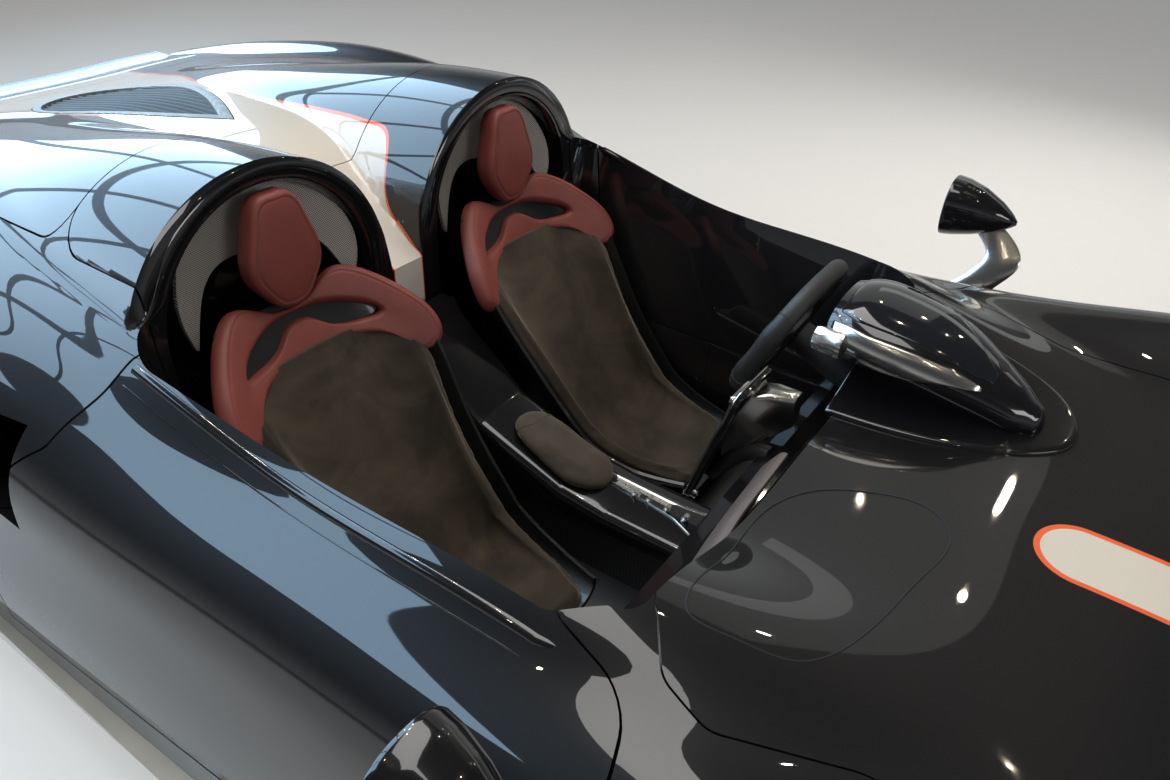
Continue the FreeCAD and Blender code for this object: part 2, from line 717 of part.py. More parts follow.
# Lip that lies on the tail: its underside is the skin, its rear face stands straight
lipTop = [(2100, 610, 858), (2300, 570, 864)]
lip = stack([[V(-half, y, 790), V(half, y, 790), V(half, y, top), V(-half, y, top)] for y, half, top in lipTop])
add("rear_wing", largest(lip.cut(outer)))
exhaustRadius = 48.0
exhaustZ = 600.0
exhausts = []
for x in (-150, 150):
    outside = Part.makeCylinder(exhaustRadius, 110, V(x, 2195, exhaustZ), V(0, 1, 0))
    exhausts.append(outside.cut(Part.makeCylinder(exhaustRadius - 5, 112, V(x, 2201, exhaustZ), V(0, 1, 0))))
add("exhaust_tips", exhausts)
for x in (-150, 150):
    hole = Part.makeCylinder(exhaustRadius + panelGap, 200, V(x, 2195 - panelGap, exhaustZ), V(0, 1, 0))
    nodes["rear_clamshell"] = nodes["rear_clamshell"].cut(hole)


# Sockets for the screw-in towing eye: a boss on the back wall of the nose intake, a plain bore in the tail
towEyeRadius = 9.0
towBossRadius = 17.0
towBossLength = 45.0
towBossFlange = 26.0
towRearDepth = 60.0
towRearZ = 640.0
rearFaceY = 2306.0
bossFoot = V(towEyeX, noseIntakeBack - panelGap, towFrontZ)
boss = Part.makeCylinder(towBossRadius, towBossLength, bossFoot, V(0, -1, 0))
boss = boss.fuse(Part.makeCylinder(towBossFlange, 8, bossFoot, V(0, -1, 0)))
boss = boss.cut(Part.makeCylinder(towEyeRadius, towBossLength + 20, bossFoot + V(0, 10, 0), V(0, -1, 0)))
add("tow_boss", [boss])
rearSocket = Part.makeCylinder(towEyeRadius, towRearDepth + 100, V(towEyeX, rearFaceY - towRearDepth, towRearZ),
                               V(0, 1, 0))
nodes["rear_clamshell"] = nodes["rear_clamshell"].cut(rearSocket)


# Wheels
def revolved(points):
    # Closed outline of (x, radius) corners turned about the X axis.
    face = Part.Face(polygonWire([V(x, 0, r) for x, r in points]))
    return face.revolve(V(0, 0, 0), V(1, 0, 0), 360)


def tyreShape(radius, width, rimRadius):
    # Bead, sidewall, shoulder and tread; the grooves are left to the dressing.
    half = width / 2
    tread = half - 22
    outline = [(-half + 14, rimRadius), (-half, rimRadius + 42), (-tread, radius), (tread, radius),
               (half, rimRadius + 42), (half - 14, rimRadius)]
    return revolved(outline)


def rimShape(rimRadius, rimWidth, mountFace):
    # Barrel with flanges, a nave against the hub and straight spokes between them.
    half = rimWidth / 2
    outside = rimRadius - panelGap
    barrel = revolved([(-half, outside), (half, outside), (half, outside - 14), (half - 20, outside - 24),
                       (-half + 30, outside - 24), (-half, outside - 14)])
    back = mountFace + 20
    nave = revolved([(mountFace, 0), (mountFace, hubRadius), (back + 18, hubRadius - 2), (back + 24, 36),
                     (back + 24, 0)])
    pieces = [barrel, nave]
    tip = outside - 20
    front = half - 8
    for index in range(spokeCount):
        spoke = stack([
            [V(back - 12, -13, 50), V(back + 18, -9, 50), V(back + 18, 9, 50), V(back - 12, 13, 50)],
            [V(back, -11, tip), V(front, -7, tip), V(front, 7, tip), V(back, 11, tip)],
        ])
        spoke.rotate(V(0, 0, 0), V(1, 0, 0), index * 360.0 / spokeCount)
        pieces.append(spoke)
    return fuse(pieces)


def hubShape(mountFace, discRadius, stubLength):
    # Hub flange against the rim, brake disc and the stub that turns in the upright.
    seat = mountFace - panelGap
    discOut = mountFace - 15
    discIn = discOut - discThickness
    hatRadius = 62.0
    outline = [(seat, 0), (seat, hubRadius - 2), (seat - 10, hubRadius - 2), (seat - 10, hatRadius),
               (discOut, hatRadius), (discOut, discRadius), (discIn, discRadius), (discIn, stubRadius),
               (discIn - stubLength, stubRadius), (discIn - stubLength, 0)]
    return revolved(outline), discIn, discOut


kingpinAxis = V(-math.tan(math.radians(kingpinInclination)), math.tan(math.radians(kingpinCaster)), 1)
kingpinAxis.normalize()
kingpinOffset = kingpinX - frontTrackHalf
earRadius = 20.0
earLow = 88.0
earHigh = 112.0
jointLength = 28.0
caliperLip = 20.0


def earAt(side, start, end):
    # Short cylinder on the kingpin's line, above (1) or below (-1) the hub, from the wheel's own centre.
    centre = V(kingpinOffset, 0, 0)
    a = centre + kingpinAxis * (side * start)
    b = centre + kingpinAxis * (side * end)
    return tube(a, b, earRadius)


def uprightShape(discIn, discOut, discRadius, rimRadius):
    # Upright round the stub with an ear above and below, and a caliper over the disc's rear edge.
    face = discIn - runningGap
    body = stack([
        [V(face - 50, -34, -earHigh + 4), V(face, -34, -earHigh + 4), V(face, 34, -earHigh + 4),
         V(face - 50, 34, -earHigh + 4)],
        [V(face - 58, -68, 0), V(face, -68, 0), V(face, 68, 0), V(face - 58, 68, 0)],
        [V(face - 50, -34, earHigh - 4), V(face, -34, earHigh - 4), V(face, 34, earHigh - 4),
         V(face - 50, 34, earHigh - 4)],
    ])
    body = fuse([body, earAt(1, earLow, earHigh), earAt(-1, earLow, earHigh)])
    body = body.cut(Part.makeCylinder(stubRadius + stubClearance, 200, V(face - 100, 0, 0), V(1, 0, 0)))
    caliper = box(discIn - 34, discOut + caliperLip, 112, 230, -100, 100)
    caliper = caliper.common(Part.makeCylinder(rimRadius - 24 - 2 * runningGap, 400, V(-200, 0, 0), V(1, 0, 0)))
    slot = box(discIn - runningGap, discOut + runningGap, 0, 230, -120, 120)
    slot = slot.common(Part.makeCylinder(discRadius + runningGap, 400, V(-200, 0, 0), V(1, 0, 0)))
    bracket = box(face - 28, face, 40, 150, -60, 60)
    return fuse([body, bracket, caliper.cut(slot)])


def placed(shape, x, y, z):
    moved = shape.copy()
    moved.translate(V(x, y, z))
    return moved


def wishbone(side, wallX, spread, track, axleY, radius, armRadius):
    # Two tubes from the well's wall to a joint housing on the ear.
    housing = placed(earAt(side, earHigh + stubClearance, earHigh + jointLength), track, axleY, radius)
    middle = V(track + kingpinOffset, axleY, radius) + kingpinAxis * (side * (earHigh + jointLength / 2 + 4))
    arms = []
    for offset in (-spread, spread):
        foot = V(wallX - armRadius, axleY + offset, radius + side * 96)
        arms.append(tube(foot, middle, armRadius))
    arms = fuse(arms + [housing]).common(box(wallX + panelGap, 1100, -2400, 2400, 0, 1000))
    ear = placed(earAt(side, 0, earHigh + stubClearance), track, axleY, radius)
    return largest(arms.cut(ear))[0]


# End of the car, track half, axle y, tyre radius and width, rim radius and width, mounting face, disc, wall, arms
cornerTable = [
    ("front", frontTrackHalf, frontAxleY, frontTyreRadius, frontTyreWidth, frontRimRadius, frontRimWidth,
     frontMountFace, frontDiscRadius, frontWellWallX, 130, 13),
    ("rear", rearTrackHalf, rearAxleY, rearTyreRadius, rearTyreWidth, rearRimRadius, rearRimWidth,
     rearMountFace, rearDiscRadius, rearWellWallX, 140, 14),
]
for row in cornerTable:
    end, track, axleY, radius, width, rimRadius, rimWidth, mountFace, discRadius, wallX, spread, armRadius = row
    hubAndDisc, discIn, discOut = hubShape(mountFace, discRadius, 70)
    shapes = {
        "tyre_" + end: tyreShape(radius, width, rimRadius),
        "rim_" + end: rimShape(rimRadius, rimWidth, mountFace),
        "hub_" + end: hubAndDisc,
    }
    for part in sorted(shapes):
        piece = placed(shapes[part], track, axleY, radius)
        add(part + "_left", [piece])
        add(part + "_right", [mirrored(piece)])
    upright = placed(uprightShape(discIn, discOut, discRadius, rimRadius), track, axleY, radius)
    arms = [wishbone(side, wallX, spread, track, axleY, radius, armRadius) for side in (-1, 1)]
    add(end + "_suspension", arms + [mirrored(arm) for arm in arms])
    if end == "front":
        add("knuckle_front_left", [upright])
        add("knuckle_front_right", [mirrored(upright)])
    else:
        add("rear_uprights", bothSides(upright))

os.makedirs("parts", exist_ok=True)
for name in sorted(nodes):
    shape = nodes[name]
    shape.exportStep("parts/" + name + ".step")
    low = shape.BoundBox
    print(name, len(shape.Solids), "valid" if shape.isValid() else "NOT VALID", round(shape.Volume / 1e6, 2),
          [round(v) for v in (low.XMin, low.XMax, low.YMin, low.YMax, low.ZMin, low.ZMax)])
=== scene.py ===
import math
import bpy
import bmesh
import numpy as np
from mathutils import Matrix, Vector


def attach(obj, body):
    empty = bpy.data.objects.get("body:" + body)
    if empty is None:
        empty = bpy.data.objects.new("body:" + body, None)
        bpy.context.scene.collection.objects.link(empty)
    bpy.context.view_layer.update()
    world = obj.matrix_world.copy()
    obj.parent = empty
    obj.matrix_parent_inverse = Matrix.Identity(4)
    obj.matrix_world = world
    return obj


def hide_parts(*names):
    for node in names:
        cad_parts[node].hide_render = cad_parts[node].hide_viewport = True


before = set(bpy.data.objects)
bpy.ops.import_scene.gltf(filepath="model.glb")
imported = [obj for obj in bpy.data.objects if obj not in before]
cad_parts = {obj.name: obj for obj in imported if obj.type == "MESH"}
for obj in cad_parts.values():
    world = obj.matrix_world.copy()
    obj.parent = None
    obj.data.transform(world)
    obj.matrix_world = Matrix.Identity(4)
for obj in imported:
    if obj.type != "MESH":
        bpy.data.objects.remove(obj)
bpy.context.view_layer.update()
mm = 0.001
leftAndRight = (("left", 1), ("right", -1))
print("frame loaded")


# camera, at the place and turn that the photo was taken from
camera = {"place": (-1.362, -0.884, 1.694), "yaw": 33.45, "pitch": 34.09, "roll": 2.24,
          "focalPixels": 896.9, "widthPixels": 1170, "sensor": 36.0}


def makeCamera():
    yaw, pitch, roll = (math.radians(camera[word]) for word in ("yaw", "pitch", "roll"))
    ahead = Vector((math.cos(pitch) * math.cos(yaw), math.cos(pitch) * math.sin(yaw), -math.sin(pitch)))
    level = ahead.cross(Vector((0, 0, 1))).normalized()
    upright = level.cross(ahead)
    right = math.cos(roll) * level + math.sin(roll) * upright
    up = -math.sin(roll) * level + math.cos(roll) * upright
    data = bpy.data.cameras.new("camera")
    data.sensor_width = camera["sensor"]
    data.lens = camera["focalPixels"] / camera["widthPixels"] * camera["sensor"]
    data.clip_start = 0.01
    turn = Matrix((right, up, -ahead)).transposed().to_4x4()
    turn.translation = Vector(camera["place"])
    thing = bpy.data.objects.new("camera", data)
    thing.matrix_world = turn
    bpy.context.scene.collection.objects.link(thing)
    bpy.context.scene.camera = thing


makeCamera()


# meshes from arrays
def gridFaces(rows, cols, wrapRows=False, wrapCols=False):
    # quads between neighbours on a grid of points, numbered row by row
    r = np.arange(rows if wrapRows else rows - 1)
    c = np.arange(cols if wrapCols else cols - 1)
    r, c = np.meshgrid(r, c, indexing="ij")
    nextRow, nextCol = (r + 1) % rows * cols, (c + 1) % cols
    return np.stack([r * cols + c, r * cols + nextCol, nextRow + nextCol, nextRow + c], axis=-1).reshape(-1, 4)


def linkMesh(name, mesh):
    piece = bpy.data.objects.new(name, mesh)
    bpy.context.scene.collection.objects.link(piece)
    return piece


def quadMesh(name, points, faces, caps=()):
    # mesh of quads, and of one many-sided face for each cap
    mesh = bpy.data.meshes.new(name)
    loops = np.concatenate([np.asarray(faces).ravel()] + [np.asarray(cap) for cap in caps])
    sizes = np.array([4] * len(faces) + [len(cap) for cap in caps])
    mesh.vertices.add(len(points))
    mesh.vertices.foreach_set("co", np.ascontiguousarray(points, dtype=np.float32).ravel())
    mesh.loops.add(len(loops))
    mesh.loops.foreach_set("vertex_index", loops.astype(np.int32))
    mesh.polygons.add(len(sizes))
    mesh.polygons.foreach_set("loop_start", np.concatenate([[0], np.cumsum(sizes)[:-1]]).astype(np.int32))
    mesh.update(calc_edges=True)
    return mesh


def tidy(mesh, angle=35.0, merge=0.0, turnOut=True):
    # merge doubles, turn the faces outwards, shade smooth between sharp edges
    work = bmesh.new()
    work.from_mesh(mesh)
    if merge:
        bmesh.ops.remove_doubles(work, verts=work.verts, dist=merge)
    bmesh.ops.dissolve_degenerate(work, dist=1e-7, edges=work.edges)
    if turnOut:
        bmesh.ops.recalc_face_normals(work, faces=work.faces)
    work.to_mesh(mesh)
    work.free()
    mesh.polygons.foreach_set("use_smooth", np.ones(len(mesh.polygons), dtype=bool))
    mesh.set_sharp_from_angle(angle=math.radians(angle))
    mesh.update()


def gridPiece(name, grids, angle=35.0, merge=1e-6):
    # one piece from several grids of points, each (rows, cols, 3) with its wrap flags
    allPoints, allFaces, start = [], [], 0
    for points, wrapRows, wrapCols in grids:
        rows, cols = points.shape[:2]
        allPoints.append(points.reshape(-1, 3))
        allFaces.append(gridFaces(rows, cols, wrapRows, wrapCols) + start)
        start += rows * cols
    mesh = quadMesh(name, np.concatenate(allPoints), np.concatenate(allFaces))
    tidy(mesh, angle, merge)
    return linkMesh(name, mesh)


def closedPiece(name, rings, angle=35.0):
    # a solid from a stack of closed rings (rows, cols, 3) with a flat face at each end
    rows, cols = rings.shape[:2]
    first = np.arange(cols)[::-1]
    last = np.arange(cols) + (rows - 1) * cols
    mesh = quadMesh(name, rings.reshape(-1, 3), gridFaces(rows, cols, False, True), (first, last))
    tidy(mesh, angle)
    return linkMesh(name, mesh)


def bends(gap, values):
    # second derivatives of natural cubic splines through the rows of values, at gaps along their parameter
    system = np.zeros((*values.shape[:-1], values.shape[-2]))
    system[..., 0, 0] = system[..., -1, -1] = 1
    inner = np.arange(1, values.shape[-2] - 1)
    system[..., inner, inner - 1] = gap[..., :-1]
    system[..., inner, inner] = 2 * (gap[..., :-1] + gap[..., 1:])
    system[..., inner, inner + 1] = gap[..., 1:]
    turns = np.zeros_like(values)
    turns[..., 1:-1, :] = 6 * np.diff(np.diff(values, axis=-2) / gap[..., None], axis=-2)
    return np.linalg.solve(system, turns)


def cubic(a, b, p, q, h, u):
    # spline at u inside a gap h between values p and q with second derivatives a and b
    w = h - u
    return (a * w ** 3 + b * u ** 3) / (6 * h) + (p / h - a * h / 6) * w + (q / h - b * h / 6) * u


def smoothThrough(knots, values):
    # natural cubic spline as a function of the knots' parameter
    knots, values = np.asarray(knots, float), np.asarray(values, float)
    gap = np.diff(knots)
    bend = bends(gap, values)

    def at(t):
        t = np.asarray(t, float)
        k = np.clip(np.searchsorted(knots, t, side="right") - 1, 0, len(gap) - 1)
        return cubic(bend[k], bend[k + 1], values[k], values[k + 1], gap[k][..., None],
                     (t - knots[k])[..., None])

    return at


def chords(points):
    # way along a line of points
    return np.concatenate([[0], np.cumsum(np.linalg.norm(np.diff(points, axis=0), axis=1))])


def smoothLoop(points, count, partner=None):
    # closed smooth line through the points, with the parameter of its partner's line where it has one
    points = np.asarray(points, float)
    longer, lead = (np.concatenate([keys[-4:], keys, keys[:5]]) for keys in
                    (points, points if partner is None else partner))
    knots = chords(lead)
    return smoothThrough(knots, longer)(np.linspace(knots[4], knots[4 + len(points)], count, endpoint=False))


def smoothLine(points, count):
    # open smooth line through the points
    points = np.asarray(points, float)
    knots = chords(points)
    return smoothThrough(knots, points)(np.linspace(0, knots[-1], count))


def roundedLoop(corners, radius, arcSteps=6):
    # closed outline whose corners are rounded by arcs of the given radius (one value, or one for each corner)
    corners = np.asarray(corners, float)
    radii = np.broadcast_to(np.asarray(radius, float), (len(corners),))
    out = []
    for index, corner in enumerate(corners):
        before = corners[index - 1] - corner
        after = corners[(index + 1) % len(corners)] - corner
        a, b = before / np.linalg.norm(before), after / np.linalg.norm(after)
        half = math.acos(float(np.clip(np.dot(a, b), -1, 1))) / 2
        reach = min(radii[index] / math.tan(half), 0.49 * np.linalg.norm(before), 0.49 * np.linalg.norm(after))
        t = np.linspace(0, 1, arcSteps)[:, None]
        start, end = corner + a * reach, corner + b * reach
        weight = math.sin(half)
        low = (1 - t) ** 2 + 2 * weight * t * (1 - t) + t ** 2
        out.append(((1 - t) ** 2 * start + 2 * weight * t * (1 - t) * corner + t ** 2 * end) / low)
    return np.concatenate(out)


def mirrorPiece(piece, name):
    # the same mesh on the other side of the car, faces turned back outwards
    mesh = piece.data.copy()
    mesh.name = name
    mesh.transform(Matrix.Scale(-1, 4, Vector((1, 0, 0))))
    mesh.flip_normals()
    return linkMesh(name, mesh)


def joinPieces(name, parts):
    # several pieces as one mesh; each keeps its material
    target = bmesh.new()
    slots = []
    for part in parts:
        base = []
        for slot in part.data.materials:
            if slot not in slots:
                slots.append(slot)
            base.append(slots.index(slot))
        work = bmesh.new()
        work.from_mesh(part.data)
        for face in work.faces:
            face.material_index = base[face.material_index] if base else 0
        copy = bpy.data.meshes.new("copy")
        work.to_mesh(copy)
        work.free()
        target.from_mesh(copy)
        bpy.data.meshes.remove(copy)
        remove(part)
    mesh = bpy.data.meshes.new(name)
    target.to_mesh(mesh)
    target.free()
    for slot in slots:
        mesh.materials.append(slot)
    return linkMesh(name, mesh)


def carve(piece, tools, operation="DIFFERENCE", discard=True):
    # cut pieces out of a closed solid, or keep what they share with it
    for tool in tools:
        cut = piece.modifiers.new("cut", "BOOLEAN")
        cut.object = tool
        cut.operation = operation
        cut.solver = "MANIFOLD"
    applyModifiers(piece)
    if discard:
        remove(*tools)
    return piece


def applyModifiers(piece):
    bpy.context.view_layer.update()
    mesh = bpy.data.meshes.new_from_object(piece.evaluated_get(bpy.context.evaluated_depsgraph_get()))
    piece.modifiers.clear()
    old = piece.data
    piece.data = mesh
    mesh.name = piece.name
    bpy.data.meshes.remove(old)


def prism(name, outline, start, run):
    # closed outline of 3-D points moved by start and carried along run
    first = np.asarray(outline, float) + np.asarray(start)
    return closedPiece(name, np.stack([first, first + np.asarray(run)]))


def level(flat, z):
    # plan points at a height, or each at its own
    return np.column_stack([flat, np.broadcast_to(z, len(flat))])


def crossways(section, y):
    # section points (x, z) at a station
    return np.column_stack([section[:, 0], np.full(len(section), y), section[:, 1]])


def planPrism(name, outline, low, high):
    return prism(name, level(outline, 0), (0, 0, low), (0, 0, high - low))


def fullTurn(steps):
    return np.linspace(0, 2 * math.pi, steps, endpoint=False)


def turnedRings(profile, steps, order=(0, 1, 2), squash=1.0):
    # circles of (radius, way along the axis); order says which of across, across and axis is x, y and z
    angle = fullTurn(steps)
    rings = [np.stack([r * np.cos(angle), r * squash * np.sin(angle), np.full(steps, w)],
                      -1) for r, w in profile]
    return np.stack(rings)[..., list(order)]


def power(value, exponent):
    # power that keeps the sign
    return np.sign(value) * np.abs(value) ** exponent


def unit(vectors):
    return vectors / np.maximum(np.linalg.norm(vectors, axis=-1, keepdims=True), 1e-9)


def remove(*pieces):
    for piece in pieces:
        bpy.data.objects.remove(piece, do_unlink=True)


def drum(name, centre, radius, x0, x1, steps=96):
    # round solid along the X axis
    ring = turnedRings([(radius, 0)], steps, (2, 0, 1))[0] + (0, *centre)
    return prism(name, ring, (x0, 0, 0), (x1 - x0, 0, 0))


# body form: sections of half the car as key points, station y first, in millimetres
# columns: y, centre top z, ridge x z, fender crest x z, widest side x z, lower edge x z
bodySections = np.array([
    (-2305, 318, 150, 324, 300, 318, 430, 255, 415, 150),
    (-2180, 415, 270, 425, 520, 440, 735, 345, 720, 138),
    (-1900, 530, 370, 552, 690, 622, 900, 460, 885, 126),
    (-1550, 612, 420, 640, 752, 752, 952, 540, 930, 120),
    (-1195, 658, 450, 688, 775, 800, 970, 570, 940, 120),
    (-800, 668, 560, 708, 800, 735, 948, 560, 925, 120),
    (-430, 660, 668, 756, 795, 700, 925, 540, 930, 120),
    (100, 668, 700, 776, 806, 712, 926, 522, 942, 120),
    (475, 712, 715, 850, 834, 768, 945, 545, 950, 120),
    (800, 912, 690, 904, 846, 866, 962, 580, 955, 122),
    (1150, 962, 615, 948, 815, 934, 971, 612, 958, 126),
    (1475, 942, 585, 934, 788, 948, 972, 640, 950, 150),
    (1800, 884, 560, 890, 760, 916, 955, 668, 915, 240),
    (2100, 842, 530, 850, 705, 866, 900, 690, 850, 380),
    (2306, 806, 480, 812, 620, 822, 790, 700, 760, 500)]) * mm
# hoop sections: station y, inner foot x z, top x z, outer foot x z
hoopSections = np.array([
    (400, 59, 826, 384, 1088, 660, 915),
    (555, 59, 826, 384, 1088, 660, 915),
    (800, 72, 852, 378, 1072, 655, 925),
    (1150, 90, 880, 362, 1016, 640, 915),
    (1500, 120, 880, 345, 955, 590, 890),
    (1850, 140, 840, 330, 878, 540, 840),
    (2306, 160, 700, 330, 740, 520, 700)]) * mm
body = {"noseRound": 0.045, "tailRound": 0.03, "hoopBlend": 0.03, "hoopFront": 0.535, "seamHalf": 0.0016,
        "wall": 0.026}
bodyAt = smoothThrough(bodySections[:, 0], bodySections[:, 1:])
hoopAt = smoothThrough(hoopSections[:, 0], hoopSections[:, 1:])
noseY, tailY = bodySections[0, 0], bodySections[-1, 0]


def hoopTop(x, y):
    # height of the circle through the hoop's three key points, falling steeply outside it
    xi, zi, xt, zt, xo, zo = np.moveaxis(hoopAt(np.maximum(y, body["hoopFront"])), -1, 0)
    d = 2 * (xi * (zt - zo) + xt * (zo - zi) + xo * (zi - zt))
    si, st, so = xi ** 2 + zi ** 2, xt ** 2 + zt ** 2, xo ** 2 + zo ** 2
    cx = (si * (zt - zo) + st * (zo - zi) + so * (zi - zt)) / d
    cz = (si * (xo - xt) + st * (xi - xo) + so * (xt - xi)) / d
    radius = np.hypot(xi - cx, zi - cz)
    away = np.abs(np.abs(x) - cx)
    before = np.maximum(body["hoopFront"] - y, 0)
    return cz + np.sqrt(np.maximum(radius ** 2 - away ** 2, 0)) - 6 * np.maximum(away - radius, 0) - 8 * before


def smoothMax(a, b, blend):
    # larger of two heights with a fillet of the given blend between them
    near = np.maximum(blend - np.abs(a - b), 0) / blend
    return np.maximum(a, b) + near ** 2 * blend / 4


def keyPoints(y, inset):
    # 17 points round each section from the right lower edge over the top to the left lower edge
    zc, xr, zr, xf, zf, xs, zs, xl, zl = np.moveaxis(bodyAt(y), -1, 0)
    centre = np.stack([0 * zc, zc - inset], -1)
    ridge = np.stack([xr - inset * 0.3, zr - inset], -1)
    crest = np.stack([xf - inset * 0.5, zf - inset], -1)
    side = np.stack([xs - inset, zs - inset * 0.4], -1)
    lower = np.stack([xl - inset, zl + inset], -1)

    def bowed(a, b, bulge):
        along = b - a
        return (a + b) / 2 + bulge * np.stack([along[..., 1], -along[..., 0]], -1)

    between = np.stack([ridge[..., 0] / 2, centre[..., 1] + (ridge[..., 1] - centre[..., 1]) / 4], -1)
    left = [between, ridge, bowed(crest, ridge, -0.03), crest, bowed(side, crest, 0.16), side,
            bowed(lower, side, 0.02), lower]
    right = [point * np.array([-1, 1]) for point in reversed(left)]
    return np.stack(right + [centre] + left, axis=1)


def sectionLine(keys, counts):
    # cubic spline round each section with its own chord lengths, at the same shares of every span
    steps = np.linalg.norm(np.diff(keys, axis=1), axis=2)
    bend = bends(steps, keys)
    k = np.append(np.repeat(np.arange(len(counts)), counts), len(counts) - 1)
    share = np.append(np.concatenate([np.arange(n) / n for n in counts]), 1.0)
    h = steps[:, k][..., None]
    return cubic(bend[:, k], bend[:, k + 1], keys[:, k], keys[:, k + 1], h, share[:, None] * h)


def bodySolid(name, y0, y1, step, density=1.0, inset=0.0, withHoops=True):
    # closed body between two stations: the section spline swept over y, hoops blended in, both ends rounded
    y = [np.linspace(y0, y1, max(int((y1 - y0) / step), 8) + 1)]
    if y0 == noseY:
        y.append(noseY + body["noseRound"] * (1 - np.cos(np.linspace(0, math.pi / 2, 10))))
    if y1 == tailY:
        y.append(tailY - body["tailRound"] * (1 - np.cos(np.linspace(0, math.pi / 2, 8))))
    y = np.unique(np.round(np.concatenate(y), 5))
    nose = np.clip((noseY + body["noseRound"] - y) / body["noseRound"], 0, 1)
    tail = np.clip((y - tailY + body["tailRound"]) / body["tailRound"], 0, 1)
    rounding = body["noseRound"] * (1 - np.sqrt(1 - nose ** 2)) + body["tailRound"] * (1 - np.sqrt(1 - tail ** 2))
    keys = keyPoints(y, rounding + inset)
    half = [int(round(n * density)) for n in (44, 44, 8, 9, 9, 8, 9, 9)]
    line = sectionLine(keys, half[::-1] + half)
    x, z = line[..., 0], line[..., 1]
    y = np.broadcast_to(y[:, None], x.shape)
    if withHoops and y1 > 0:
        hoop = hoopTop(x, y) - inset - rounding[:, None]
        z = np.where(z > 0.62, smoothMax(z, hoop, body["hoopBlend"]), z)
    points = np.stack([x, y, z], -1)
    bottom = points[:, -1:] + (points[:, :1] - points[:, -1:]) * np.linspace(0, 1, 12)[None, 1:-1, None]
    return closedPiece(name, np.concatenate([points, bottom], axis=1), 60)


print("body form ready")


# what is cut out of the body
cockpit = {"floor": 0.165, "breakZ": 0.4, "rimZ": 0.84, "top": 1.3,
           "low": [(0.545, -0.47), (0.585, -0.32), (0.585, 0.44), (0.545, 0.53)],
           "high": [(0.622, -0.492), (0.704, -0.4), (0.716, 0.46), (0.666, 0.53)],
           "lowRound": (0.06, 0.1, 0.1, 0.08), "highRound": (0.05, 0.05, 0.1, 0.09),
           "footHalf": 0.49, "footFront": -1.13, "footTop": 0.52}
hoopBay = {"centre": 0.362, "rows": [(0.49, 0.262, 1.052, 0.3), (0.64, 0.248, 1.04, 0.3),
                                     (0.745, 0.205, 0.985, 0.33)]}
wheels = {"front": {"axleY": -1.195, "radius": 0.327, "track": 0.825, "arch": 0.365, "wall": 0.52},
          "rear": {"axleY": 1.475, "radius": 0.3455, "track": 0.8085, "arch": 0.375, "wall": 0.545}}
door = {"frontSeam": [(0.684, -0.395, 0.761), (0.74, -0.56, 0.74), (0.93, -0.59, 0.64),
                      (0.94, -0.612, 0.56), (0.932, -0.604, 0.232)],
        "rearSeam": [(0.723, 0.475, 0.855), (0.865, 0.5, 0.73), (0.91, 0.6, 0.577), (0.95, 0.737, 0.4),
                     (0.95, 0.765, 0.33), (0.95, 0.765, 0.232)],
        "frontRun": (-1, 0.8, -0.7), "rearRun": (-1, -0.45, -0.75), "planeX": 0.95, "innerX": 0.6,
        "bottom": 0.232, "round": 0.045, "grow": 0.001, "gap": 0.0055}


def mirroredPlan(points):
    # left half of a plan outline given from front to back, with the same on the right
    return list(points) + [(-x, y) for x, y in reversed(points) if x > 0]


def planLevel(points, radius, z):
    return level(roundedLoop(mirroredPlan(points), list(radius) + list(radius)[::-1], 8), z)


def cockpitTool():
    levels = (("low", "floor"), ("low", "breakZ"), ("high", "rimZ"), ("high", "top"))
    return closedPiece("cockpitTool", np.stack([planLevel(cockpit[plan], cockpit[plan + "Round"], cockpit[z])
                                                for plan, z in levels]))


def footwellTool():
    half = cockpit["footHalf"]
    return planPrism("footwellTool", roundedLoop(mirroredPlan([(half, cockpit["footFront"]),
                                                               (half, -0.4)]), 0.03),
                     cockpit["floor"], cockpit["footTop"])


def bayTool(side):
    # arched sections behind one seat, closing in towards the back
    rings = []
    for y, half, top, foot in hoopBay["rows"]:
        angle = np.linspace(0, math.pi, 33)
        arc = np.column_stack([half * np.cos(angle), top - half + half * np.sin(angle)])
        rings.append(crossways(np.concatenate([arc, [(-half, foot), (half, foot)]]), y))
    return closedPiece("bayTool", np.stack(rings) * (side, 1, 1) + (side * hoopBay["centre"], 0, 0))


# ducts through rounded four-cornered sections, each a station y and its corners (x, z)
ducts = {"side": [(0.56, [(0.8, 0.56), (1.01, 0.59), (1.01, 0.74), (0.8, 0.78)]),
                  (0.76, [(0.8, 0.59), (0.938, 0.62), (0.938, 0.78), (0.8, 0.82)]),
                  (1.06, [(0.77, 0.64), (0.86, 0.67), (0.86, 0.78), (0.77, 0.82)])],
         "front": [(-0.9, [(0.76, 0.38), (1.0, 0.38), (1.0, 0.6), (0.76, 0.6)]),
                   (-0.56, [(0.82, 0.4), (1.0, 0.4), (1.0, 0.612), (0.82, 0.612)]),
                   (-0.3, [(0.89, 0.44), (1.0, 0.44), (1.0, 0.59), (0.89, 0.59)])]}


def ductTool(word, side, radius):
    rings = [crossways(roundedLoop([(x * side, z) for x, z in corners], radius, 7), y)
             for y, corners in ducts[word]]
    return closedPiece("ductTool", np.stack(rings))


def offsetLoop(outline, distance):
    # closed 2-D outline moved outwards by a distance along its own normals
    if not distance:
        return outline
    tangent = unit(np.roll(outline, -1, axis=0) - np.roll(outline, 1, axis=0))
    area = np.sum(outline[:, 0] * np.roll(outline[:, 1], -1) - np.roll(outline[:, 0], -1) * outline[:, 1])
    return outline + np.sign(area) * distance * np.column_stack([tangent[:, 1], -tangent[:, 0]])


